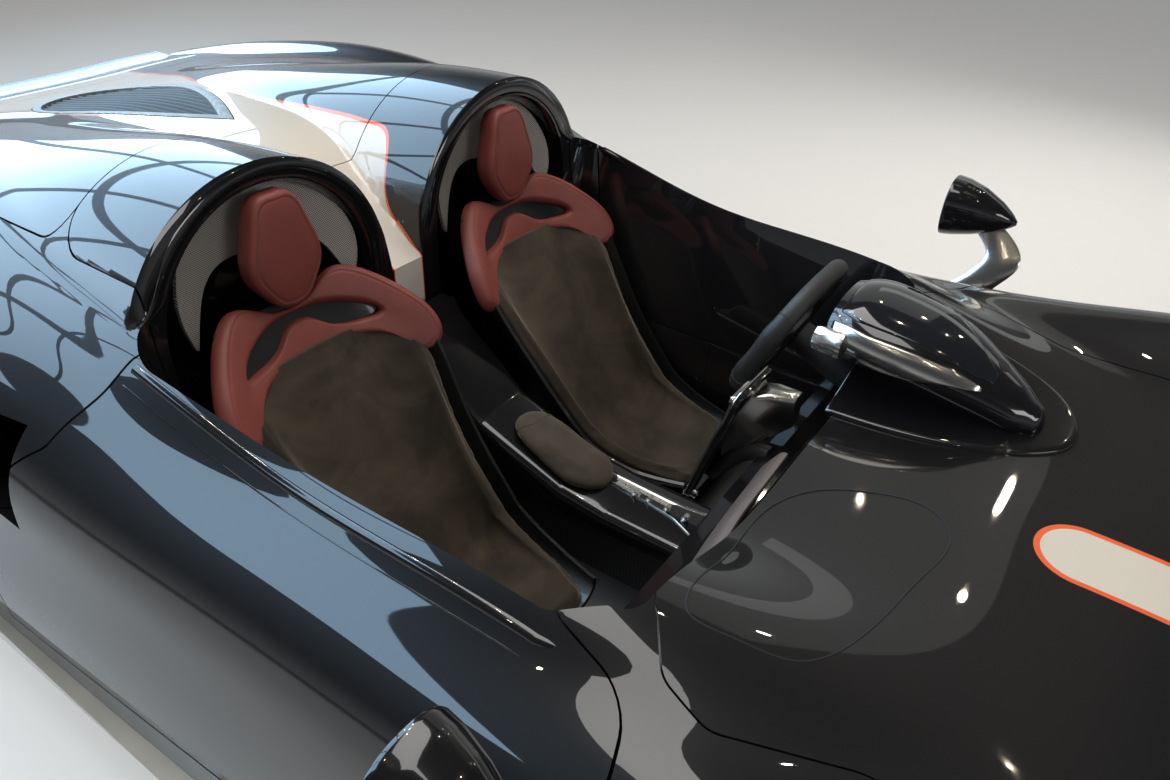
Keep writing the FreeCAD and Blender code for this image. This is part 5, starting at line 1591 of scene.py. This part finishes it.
# rolled rims of the cockpit and hoops, dash lip, lid seam
rim = {"offset": 0.005, "drop": 0.008, "radius": 0.012, "grooveOut": 0.036, "grooveRadius": 0.0016,
       "doorFront": -0.384, "doorRear": 0.462, "chassisRear": 0.486, "archX": 0.362, "archZ": 0.79,
       "archHalf": 0.262,
       "archY": 0.5345, "band": [(0.034, 0.0), (0.03, 0.0035), (0.022, 0.006), (0.01, 0.0065), (0.0, 0.004),
                                 (-0.009, -0.003), (-0.015, -0.014), (-0.018, -0.028), (-0.018, -0.042),
                                 (-0.012, -0.046), (0.002, -0.04), (0.02, -0.012)],
       "lidLoop": [(-0.56, -0.54), (-0.555, -0.6), (-0.525, -0.69), (-0.42, -0.742), (-0.2, -0.778),
                   (-0.08, -0.782), (-0.036, -0.74), (-0.048, -0.64), (-0.095, -0.56), (-0.18, -0.51),
                   (-0.4, -0.515), (-0.52, -0.52)],
       "lipUpper": [(-0.628, -0.508, 0.676), (-0.566, -0.512, 0.668), (-0.3, -0.474, 0.66),
                    (-0.1, -0.462, 0.655), (-0.02, -0.458, 0.652)],
       "lipLower": [(-0.6, -0.486, 0.63), (-0.56, -0.476, 0.626), (-0.3, -0.438, 0.615), (-0.1, -0.424, 0.602),
                    (-0.03, -0.42, 0.598)]}


def rimPath(y0, y1, count, outwards, drop=rim["drop"]):
    y = np.linspace(y0, y1, count)
    edge = np.array(cockpit["high"])
    x = np.interp(y, edge[:, 1], edge[:, 0])
    x = np.convolve(np.pad(x, 6, "edge"), np.ones(13) / 13, "valid") + outwards
    return onSkin(np.column_stack([x, y]), -drop)


def makeRims():
    y0, y1 = rim["doorFront"], rim["doorRear"]
    for name, side in leftAndRight:
        crest = rimPath(y0, y1, 80, rim["offset"])
        groove = rimPath(y0, y1, 80, rim["grooveOut"], -0.0002)
        # ahead of the opening the bead runs on straight and sinks into the skin at the door's front seam
        nose = onSkin(np.column_stack([np.linspace(0.692, crest[0, 0], 20),
                                       np.linspace(-0.486, y0 - 0.006, 20)]),
                      -rim["drop"] - np.linspace(0.006, 0, 20))
        thick = rim["radius"] * np.concatenate([np.linspace(0.4, 1.0, 20), np.ones(80)])
        parts = [tubePiece("rim", np.concatenate([nose, crest]) * (side, 1, 1), thick, 20, flat=0.85),
                 tubePiece("rim", groove * (side, 1, 1), rim["grooveRadius"], 8)]
        dress(joinPieces("door_rim_" + name, parts), "gloss", "black_gloss", on="door_" + name)
        # band of the hoop: its profile (outwards, forwards) turned round the arch and led into the sill
        profile = np.array(rim["band"])
        angle = np.radians(np.linspace(26, 180, 80))
        radial = np.stack([np.cos(angle), 0 * angle, np.sin(angle)], -1)
        base = np.array([rim["archX"], rim["archY"], rim["archZ"]]) + rim["archHalf"] * radial
        base = np.concatenate([base, base[-1] + np.linspace(0.008, 0.09, 8)[:, None] * (0, 0, -1.0)])
        radial = np.concatenate([radial, np.repeat(radial[-1:], 8, axis=0)])
        band = base[:, None] + radial[:, None] * profile[:, :1] - np.array([0, 1.0, 0]) * profile[:, 1:]
        sill = rimPath(rim["chassisRear"], 0.5, 3, rim["offset"])[::2]
        start = sill[:, None] + crossways(profile * (0.4, 0.3), 0.0) + (0, 0, 0.002)
        knots = np.concatenate([[0.0, 0.15], 1.0 + np.arange(len(band)) * 0.06])
        spread = smoothThrough(knots, np.concatenate([start, band]).reshape(len(knots), -1))
        band = spread(np.linspace(0, knots[-1], 150)).reshape(150, -1, 3) * (side, 1, 1)
        dress(closedPiece("hoop_rim_" + name, band, 50), "gloss", "black_gloss")
    seam = onSkin(smoothLoop(rim["lidLoop"], 200), 0.0001)
    dress(tubePiece("lid_seam", seam, 0.0017, 8, closed=True), "softBlack", "black_plastic")
    upper, lower = smoothLine(rim["lipUpper"], 60), smoothLine(rim["lipLower"], 60)
    profile = [(0.0, 0.0), (0.1, 0.004), (0.5, 0.004), (0.9, 0.003), (1.0, 0.0), (1.06, -0.006), (1.0, -0.01),
               (0.5, -0.008), (0.0, -0.01), (-0.06, -0.005)]
    out = np.array([0.0, 0.75, 0.66])
    rings = np.stack([upper + (lower - upper) * share + out * lift for share, lift in profile], axis=1)
    dress(closedPiece("dash_lip", rings, 50), "lipGrey", "black_plastic")


makeRims()


# steering wheel and display
steering = {"centre": (0.355, -0.29, 0.7), "tilt": 25.0, "radius": 0.172, "grip": 0.018, "square": 2.7,
            "spokes": (180.0, 0.0, 270.0)}


def steeringPlace(points):
    return leaning(points, steering["centre"], steering["tilt"])


def makeSteering():
    turn = fullTurn(160)
    c, s = np.cos(turn), np.sin(turn)
    exponent = 2 / steering["square"]
    reach = steering["radius"] - steering["grip"] + 0.004
    path = reach * level(np.column_stack([power(c, exponent), power(s, exponent) * 0.96]), 0)
    thick = steering["grip"] * (1 + 0.14 * np.exp(-((np.abs(s) - 0.25) / 0.16) ** 2))
    ring = steeringPlace(sweepGrid(path, thick, 24, True, (0, 0, 1), 1.15))
    dress(gridPiece("steering_rim", [(ring, True, True)], 60), "darkLeather", "dark_leather", "steering_wheel",
          on="steering_wheel")
    seams = []
    a = fullTurn(40)[:, None]
    for degrees in (35, 145, 205, 335):
        k = int(degrees / 360 * 160)
        side = np.cross(unit(path[(k + 1) % 160] - path[k - 1]), (0, 0, 1))
        loop = path[k] + thick[k] * 1.035 * (np.cos(a) * side + 1.15 * np.sin(a) * np.array([0, 0, 1.0]))
        seams.append(tubePiece("seam", steeringPlace(loop), 0.0009, 6, closed=True, up=(0.3, 1, 0.2)))
    dress(joinPieces("steering_seams", seams), "suedeTrim", "dark_leather", on="steering_wheel")
    parts = []
    for degrees in steering["spokes"]:
        angle = math.radians(degrees)
        out = np.array([math.cos(angle), math.sin(angle), 0])
        across = np.array([-math.sin(angle), math.cos(angle), 0])
        rows = []
        for share, half, lift, thickness in ((0.03, 0.03, -0.01, 0.022), (0.07, 0.024, -0.008, 0.018),
                                             (0.115, 0.017, -0.003, 0.013), (0.156, 0.021, 0.0, 0.012)):
            deep, top = thickness / 2, half * 0.82
            section = roundedLoop([(-half, -deep), (half, -deep), (top, deep), (-top, deep)], 0.003, 3)
            rows.append(out * share + section[:, :1] * across
                        + (section[:, 1:] + lift) * np.array([0, 0, 1.0]))
        parts.append(closedPiece("spoke", steeringPlace(np.stack(rows)), 40))
    dress(joinPieces("steering_spokes", parts), "satinSilver", "silver_trim", on="steering_wheel")
    profile = [(0.004, 0.02), (0.03, 0.018), (0.044, 0.012), (0.05, 0.002), (0.05, -0.022), (0.042, -0.029)]
    dress(closedPiece("steering_hub", steeringPlace(turnedRings(profile, 64, squash=0.92)), 40),
          "blackPlastic",
          "dark_leather", on="steering_wheel")


makeSteering()


display = {"foot": (-0.045, -0.282, 0.455), "tilt": 16.6, "width": 0.15, "height": 0.3, "thick": 0.016}


def displayPlace(points):
    return leaning(points, display["foot"], display["tilt"])


def makeDisplay():
    wide, tall, thick = display["width"], display["height"], display["thick"]
    outline = roundedLoop([(0, 0), (wide, 0), (wide, tall), (0, tall)], [0.02, 0.02, 0.014, 0.03], 7)
    centre = np.array([wide / 2, tall / 2])
    rows = []
    for inset, depth in ((0.02, 0.0), (0.008, 0.0), (0.001, 0.004), (0.0, 0.008), (0.0, thick),
                         (0.003, thick + 0.003), (0.01, thick + 0.003), (0.0115, thick + 0.0012),
                         (0.04, thick + 0.0012)):
        flat = offsetLoop(outline, -inset) if inset < 0.012 else centre + (outline - centre) * (1 - inset / 0.075)
        rows.append(level(flat, depth))
    dress(closedPiece("display_case", displayPlace(np.stack(rows)), 40), "gloss", "black_gloss",
          "centre_display")
    edge = displayPlace(level(offsetLoop(outline, 0.0004), thick - 0.001))
    dress(tubePiece("display_edge", edge, 0.0016, 8, closed=True, up=(0.2, 1, 0.3)), "satinSilver",
          "silver_trim")
    # wedge arm behind the case, from its back to the dash
    rows = [crossways(roundedLoop([(x0, z0), (x1, z0), (x1, z1), (x0, z1)], 0.01, 4),
                      y) for y, x0, x1, z0, z1 in
            ((-0.318, 0.01, 0.1, 0.545, 0.7), (-0.345, 0.02, 0.102, 0.56, 0.708),
             (-0.385, 0.045, 0.106, 0.6, 0.716), (-0.43, 0.07, 0.112, 0.64, 0.712))]
    dress(closedPiece("display_arm", np.stack(rows), 40), "satinSilver", "silver_trim")
    legs = []
    for x0, x1 in ((0.012, 0.03), (0.05, 0.044)):
        path = smoothLine([(x0, -0.3, 0.5), (x0, -0.33, 0.545), (x1, -0.372, 0.58), (x1, -0.41, 0.585)], 40)
        legs.append(tubePiece("leg", path, np.linspace(0.014, 0.019, 40), 20, up=(1, 0, 0), flat=0.62))
    dress(joinPieces("display_leg", legs), "blackPlastic", "black_plastic")
    cap = turnedRings([(0.001, -0.01), (0.0085, -0.009), (0.01, -0.006), (0.01, 0.002)], 40) + (0.01, 0.022, 0)
    dress(closedPiece("display_cap", displayPlace(cap), 40), "satinSilver", "silver_trim")


makeDisplay()
print("cabin trim made")


# mirrors on the doors; rows of the head: y, middle x, half width, low z, high z; of the stalk: z, y0, y1, x, half
mirror = {"head": [(-0.604, 1.0, 0.006, 0.806, 0.816), (-0.59, 1.0, 0.022, 0.796, 0.83),
                   (-0.56, 1.0, 0.04, 0.78, 0.852), (-0.51, 0.999, 0.06, 0.762, 0.878),
                   (-0.465, 0.997, 0.071, 0.751, 0.892), (-0.438, 0.996, 0.074, 0.747, 0.895)],
          "stalk": [(0.628, -0.588, -0.476, 0.925, 0.011), (0.662, -0.61, -0.518, 0.935, 0.01),
                    (0.7, -0.638, -0.548, 0.95, 0.009), (0.732, -0.644, -0.558, 0.966, 0.009),
                    (0.762, -0.622, -0.53, 0.984, 0.01), (0.79, -0.584, -0.49, 0.997, 0.011)]}


def makeMirrors():
    turn = fullTurn(72)
    c, s = np.cos(turn), np.sin(turn)
    wide, tall = power(c, 0.82), power(s, 0.82)
    table = np.array(mirror["head"])
    rings = []
    for y in np.linspace(table[0, 0], table[-1, 0], 30):
        x, half, low, high = (np.interp(y, table[:, 0], column) for column in table.T[1:])
        rings.append(crossways(np.column_stack([x + half * wide,
                                                (low + high) / 2 + (high - low) / 2 * tall]), y))
    mouth, rear = rings[-1], rings[-1].mean(axis=0)
    for scale, back in ((0.985, 0.0035), (0.95, 0.0045), (0.915, 0.002), (0.9, -0.008), (0.3, -0.008)):
        rings.append(rear + (mouth - rear) * scale + (0, back, 0))
    head = closedPiece("mirror_head_left", np.stack(rings), 40)
    table = np.array(mirror["stalk"])
    rings = [level(np.column_stack([x + half * s, (y0 + y1) / 2 + (y1 - y0) / 2 * c]),
                   z) for z, y0, y1, x, half in
             smoothThrough(table[:, 0], table)(np.linspace(table[0, 0], table[-1, 0], 26))]
    stalk = closedPiece("mirror_stalk_left", np.stack(rings), 40)
    glass = [crossways(np.column_stack([0.996 + 0.074 * k * wide, 0.821 + 0.074 * k * tall]), y)
             for k, y in ((0.88, -0.4465), (0.88, -0.4445), (0.86, -0.4438), (0.02, -0.4438))]
    glass = closedPiece("mirror_glass_left", np.stack(glass), 40)
    for piece, material, slot in ((head, "gloss", "black_gloss"), (stalk, "satinSilver", "silver_trim"),
                                  (glass, "chrome", "silver_trim")):
        other = mirrorPiece(piece, piece.name.replace("left", "right"))
        for name, item in (("left", piece), ("right", other)):
            nodes = ("mirror_" + name,) if piece is head else ()
            dress(item, material, slot, *nodes, on="door_" + name)


makeMirrors()


def makeLamps():
    full, inner = (bodySolid("lensForm", -2.25, -1.75, 0.01, 0.6, inset, False) for inset in (0.0015, 0.0075))
    lenses, units, tails = [], [], []
    profile = [(0.026, 0.04), (0.026, 0.004), (0.023, 0.0), (0.019, 0.001), (0.017, 0.004), (0.01, 0.0),
               (0.001, -0.002)]
    for side in (1, -1):
        lens = carve(lampPrism("head", side, -0.0012), [full], "INTERSECT", discard=False)
        lenses.append(carve(lens, [inner], discard=False))
        for x, y, z in ((0.625, -2.02, 0.455), (0.7, -1.99, 0.47), (0.772, -1.95, 0.49)):
            units.append(closedPiece("unit", turnedRings(profile, 40, (0, 2, 1), 0.8) + (side * x, y, z), 40))
        tails.append(carve(lampPrism("tail", side, -0.0015),
                           [bodySolid("tailForm", 2.15, tailY, 0.01, 0.6, 0.001, False)], "INTERSECT"))
    remove(full, inner)
    dress(joinPieces("headlamp_lenses", lenses), "headGlass", "lamp_glass", "headlamps")
    dress(joinPieces("headlamp_units", units), "satinSilver", "silver_trim")
    dress(joinPieces("tail_lamp_strips", tails), "tailGlass", "tail_glass", "tail_lamps")


makeLamps()


# engine vent: perforated border and ribs that run lengthwise
vent = {"border": 0.026, "lift": 0.0015, "slats": 14, "pitch": 0.0235, "wave": 0.0065, "sunk": 0.01}


def makeVent():
    outer, inner = ventOutline(0.0012, 97), ventOutline(vent["border"], 97)
    rows = []
    for share, lift in ((0.0, -0.01), (0.0, -0.001), (0.03, vent["lift"]), (0.5, vent["lift"] + 0.001),
                        (0.95, vent["lift"] - 0.001), (1.0, -0.004), (1.0, -0.014)):
        rows.append(onSkin(outer + (inner - outer) * share, lift))
    rows.append(rows[0] + (0, 0, -0.004))
    dress(gridPiece("vent_border", [(np.stack(rows), True, True)], 40), "vent", "black_metal", "engine_vent")
    # corrugated floor of the vent: a cosine wave across, carried from the front end to the rear
    side = inner[1:96]
    x = side[:, :1] * np.linspace(-1, 1, vent["slats"] * 16 + 1)
    y = side[:, 1:] + 0 * x
    under = bodyTop(x, y) - vent["sunk"]
    dress(slab("vent_slats", x, y, under + vent["wave"] * np.cos(2 * math.pi * x / vent["pitch"]),
               under - 0.016, 50),
          "blackPlastic", "black_metal")


def slab(name, x, y, top, low, angle):
    # solid between two grids of heights over the same plan points
    upper, under = np.stack([x, y, top], -1), np.stack([x, y, low], -1)
    return closedPiece(name, np.concatenate([upper, under[:, ::-1]], axis=1), angle)


def makeTailLip():
    y = np.linspace(2.1, 2.3005, 30)[:, None]
    share = np.linspace(-1, 1, 61)[None]
    half = np.interp(y, [2.1, 2.3], [0.61, 0.57])
    x = share * half
    skin = bodyTop(x, np.minimum(y, 2.29) + 0 * x)
    low = skin - 0.004
    edge = np.clip((1 - np.abs(share)) * half / 0.012, 0, 1) ** 0.5 * np.clip((y - 2.1) / 0.02, 0.02, 1) ** 0.5
    rise = np.interp(y, [2.1, 2.24, 2.3], [0.001, 0.005, 0.022]) + 0.004
    top = low + np.maximum(rise, 0.004) * np.maximum(edge, 0.05)
    dress(slab("tail_lip", x, y + 0 * x, top, low, 35), "carbon", "carbon", "rear_wing")


def makeMesh():
    # crossed bars behind the nose opening
    bars = []
    low, high, half, y = 0.171, 0.267, 0.494, -2.076
    for lean in (1, -1):
        for foot in np.arange(-half - 0.1, half + 0.1, 0.017):
            top = foot + lean * (high - low)
            a = (np.clip([-half, half], min(foot, top), max(foot, top)) - foot) / (top - foot)
            a = np.sort(np.clip(a, 0, 1))
            if a[1] - a[0] >= 0.05:
                ends = [(foot + (top - foot) * k, y + 0.001 * lean, low + (high - low) * k) for k in a]
                bars.append(closedPiece("bar", sweepGrid(ends, 0.0016, 6, up=(0, 1, 0)), 30))
    dress(joinPieces("nose_grille", bars), "blackPlastic", "black_metal", "nose_mesh")


def makeLiners():
    # inner skins of the wheel wells: rows across the well, each a share of its width and of its radius
    rows = ((0.0, 0.3), (0.0, 0.9), (0.0, 0.985), (0.03, 1.0), (0.35, 1.0), (0.37, 0.99),
            (0.39, 1.0), (0.68, 1.0), (0.7, 0.99), (0.72, 1.0), (1.0, 1.0))
    angle = np.radians(np.linspace(-22, 202, 90))
    circle = np.column_stack([np.cos(angle), np.sin(angle)])
    parts = []
    for wheel in wheels.values():
        radius, low, wide = wheel["arch"] - 0.003, wheel["wall"] + 0.004, wheel["track"] + 0.016 - wheel["wall"]
        for side in (1, -1):
            skins = [(side * (low + wide * k), radius * r) for k, r in rows]
            backs = [(x - side * 0.0015, r) if k < 3 else (x, r * 1.005) for k, (x, r) in enumerate(skins)]
            ring = [np.column_stack([np.full(90, x), circle * r]) for x, r in skins + backs[::-1]]
            ring = np.stack(ring, axis=1) + (0, wheel["axleY"], wheel["radius"])
            parts.append(closedPiece("liner", ring, 40))
    dress(joinPieces("arch_liners", parts), "softBlack", "black_plastic")


makeVent()
makeTailLip()
makeMesh()
makeLiners()
print("outside trim made")


# wheels: tyre section and spokes by two parameters, placed at each corner
tyre = {"around": 360, "blocks": 60, "groove": 0.0065, "sipe": 0.0045,
        "front": {"width": 0.245, "rim": 0.2413, "rimWidth": 0.2286, "face": 0.045,
                  "grooves": (-0.055, -0.019, 0.019, 0.055)},
        "rear": {"width": 0.305, "rim": 0.254, "rimWidth": 0.2794, "face": 0.062,
                 "grooves": (-0.075, -0.026, 0.026, 0.075)},
        "grooveHalf": 0.0045, "hub": 0.072, "spokes": 10, "spokeGap": 0.085}


def tyreProfile(width, rimRadius, radius):
    # half section from the bead over the sidewall to the middle of the tread, then mirrored
    half = width / 2
    bead = np.array([(-0.016, -0.001), (-0.006, 0.003), (-0.0055, 0.008), (-0.009, 0.011),
                     (-0.003, 0.02), (0, 0.036)])
    tread = np.array([(-0.001, -0.038), (-0.006, -0.022), (-0.015, -0.009), (-0.03, -0.0035),
                      (-half * 0.5, -0.0008), (-half, 0)])
    line = smoothLine(np.concatenate([bead + (half, rimRadius), tread + (half, radius)]), 90)
    return np.concatenate([line, (line * (-1, 1))[::-1][1:]])


def turned(profile, angle):
    # section of (x, radius) carried round the X axis
    x, r = profile[:, :1], profile[:, 1:]
    return np.stack([x + 0 * angle, r * np.cos(angle), r * np.sin(angle)], -1)


def tyreGrid(size, radius):
    profile = tyreProfile(size["width"], size["rim"], radius)
    angle = fullTurn(tyre["around"])[None]
    x, r = profile[:, :1], profile[:, 1:]
    groove = sum(np.exp(-((x - g) / tyre["grooveHalf"]) ** 8) for g in size["grooves"])
    edge = max(size["grooves"])
    blocks = angle / (2 * math.pi) * tyre["blocks"]
    beat = (blocks + np.sign(x) * 0.25 + (np.abs(x) - edge) * 6.0) % 1.0
    cross = (np.abs(beat - 0.5) < 0.085) * np.clip((np.abs(x) - edge - 0.007) / 0.004, 0, 1)
    beat = (blocks - x * 9.0) % 1.0
    cross = cross + (np.abs(beat - 0.5) < 0.06) * (np.abs(x) < edge - 0.006) * (np.abs(x) > 0.022) * 0.7
    onTread = np.clip((r - radius + 0.026) / 0.006, 0, 1)
    deep = r - np.maximum(tyre["groove"] * groove, tyre["sipe"] * np.minimum(cross, 1)) * onTread
    x = x + np.sign(x) * sum(0.0009 * np.exp(-((r - radius + k) / 0.0022) ** 2) for k in (0.04, 0.055))
    grid = np.stack([x + 0 * angle, deep * np.cos(angle), deep * np.sin(angle)], -1)
    reach = size["width"] / 2 - 0.02
    return np.concatenate([grid, turned(np.array([(-reach, size["rim"] - 0.0005),
                                                  (reach, size["rim"] - 0.0005)]),
                                        angle)])


def rimParts(size):
    half, outside, face, hub = size["rimWidth"] / 2, size["rim"], size["face"], tyre["hub"]
    back, front = face + 0.02, half - 0.008
    angle = fullTurn(160)[None]
    barrel = roundedLoop([(-half, outside), (half - 0.002, outside), (half, outside - 0.003),
                          (half - 0.001, outside - 0.012), (half - 0.008, outside - 0.016),
                          (half - 0.02, outside - 0.024), (-half + 0.03, outside - 0.024),
                          (-half + 0.008, outside - 0.014), (-half, outside - 0.012)], 0.0025, 3)
    nave = turned(np.array([(face + 0.0002, 0.01), (face + 0.0002, hub - 0.002), (face + 0.004, hub),
                            (back + 0.01, hub), (back + 0.016, hub - 0.005), (back + 0.019, hub - 0.016),
                            (back + 0.0195, 0.042), (back + 0.024, 0.036), (back + 0.025, 0.01)]), angle)
    parts = [gridPiece("rim", [(turned(barrel, angle), True, True)], 30), closedPiece("rim", nave, 30)]
    share = np.linspace(0, 1, 16)[:, None]
    cut = roundedLoop([(-1, -1), (1, -1), (1, 1), (-1, 1)], 0.55, 4)
    r = 0.058 + (outside - 0.019 - 0.058) * share
    bow = np.sin(math.pi * share)
    low = (back - 0.01) * (1 - share) + (front - 0.024) * share - 0.004 * bow
    high = (back + 0.016) * (1 - share) + front * share - 0.01 * bow
    depth = (low + high) / 2 + (high - low) / 2 * cut[:, 1]
    across = (0.0085 - 0.003 * share + 0.004 * share ** 6) * cut[:, 0]
    for index in range(tyre["spokes"]):
        for lean in (-1, 1):
            turn = 2 * math.pi * index / tyre["spokes"] + lean * (0.02 + tyre["spokeGap"] * share ** 0.8)
            c, s = np.cos(turn), np.sin(turn)
            parts.append(closedPiece("rim", np.stack([depth, r * c - across * s, r * s + across * c], -1), 40))
    return parts


def boltParts(size):
    top = size["face"] + 0.0395
    nut = turnedRings([(0.0105, -0.006), (0.0105, 0.004), (0.009, 0.008), (0.006, 0.008), (0.005, 0.002)], 12,
                      (2, 0, 1))
    parts = []
    for index in range(5):
        a = 2 * math.pi * (index + 0.5) / 5
        parts.append(closedPiece("bolt", nut + (top, 0.054 * math.cos(a), 0.054 * math.sin(a)), 30))
    cap = turnedRings([(0.034, 0.002), (0.033, 0.01), (0.029, 0.013), (0.004, 0.0135)], 48, (2, 0, 1))
    return parts + [closedPiece("bolt", cap + (top, 0, 0), 30)]


def makeWheels():
    for end, wheel in wheels.items():
        size = tyre[end]
        tread = gridPiece("tyreForm", [(tyreGrid(size, wheel["radius"] - 0.0003), True, True)], 30)
        forms = {"tyre": (tread, "rubber", "tyre"),
                 "rim": (joinPieces("rimForm", rimParts(size)), "rim", "rim_metal"),
                 "bolts": (joinPieces("boltForm", boltParts(size)), "satinSilver", "silver_trim")}
        for word, (form, material, slot) in forms.items():
            for name, side in leftAndRight:
                corner = end + "_" + name
                piece = copyOf(form, word + "_dressed_" + corner)
                if side < 0:
                    piece.data.transform(Matrix.Diagonal((-1, 1, 1, 1)))
                    piece.data.flip_normals()
                piece.data.transform(Matrix.Translation((side * wheel["track"], wheel["axleY"],
                                                         wheel["radius"])))
                nodes = () if word == "bolts" else (word + "_" + corner,)
                dress(piece, material, slot, *nodes, on="wheel_" + corner)
            remove(form)


makeWheels()
print("wheels made")


# finishes of the solids that stay as they are
carried = {"carbon": ["tub", "undertray", "front_splitter", "rear_diffuser"], "cream": ["side_skirts"],
           "exhaust": ["exhaust_tips"], "gloss": ["dash"], "blackPlastic": ["steering_column"],
           "alloy": ["pedals", "tow_boss", "front_suspension", "rear_suspension", "rear_uprights",
                     "knuckle_front_left", "knuckle_front_right"], "engineMetal": ["engine_block"],
           "disc": ["hub_front_left", "hub_front_right", "hub_rear_left", "hub_rear_right"]}


def finishCarried():
    for material, nodes in carried.items():
        for node in nodes:
            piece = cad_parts[node]
            if not piece.material_slots:
                piece.data.materials.append(materials[material])
            for slot in piece.material_slots:
                slot.material = materials[material]


finishCarried()
print("carried solids finished")
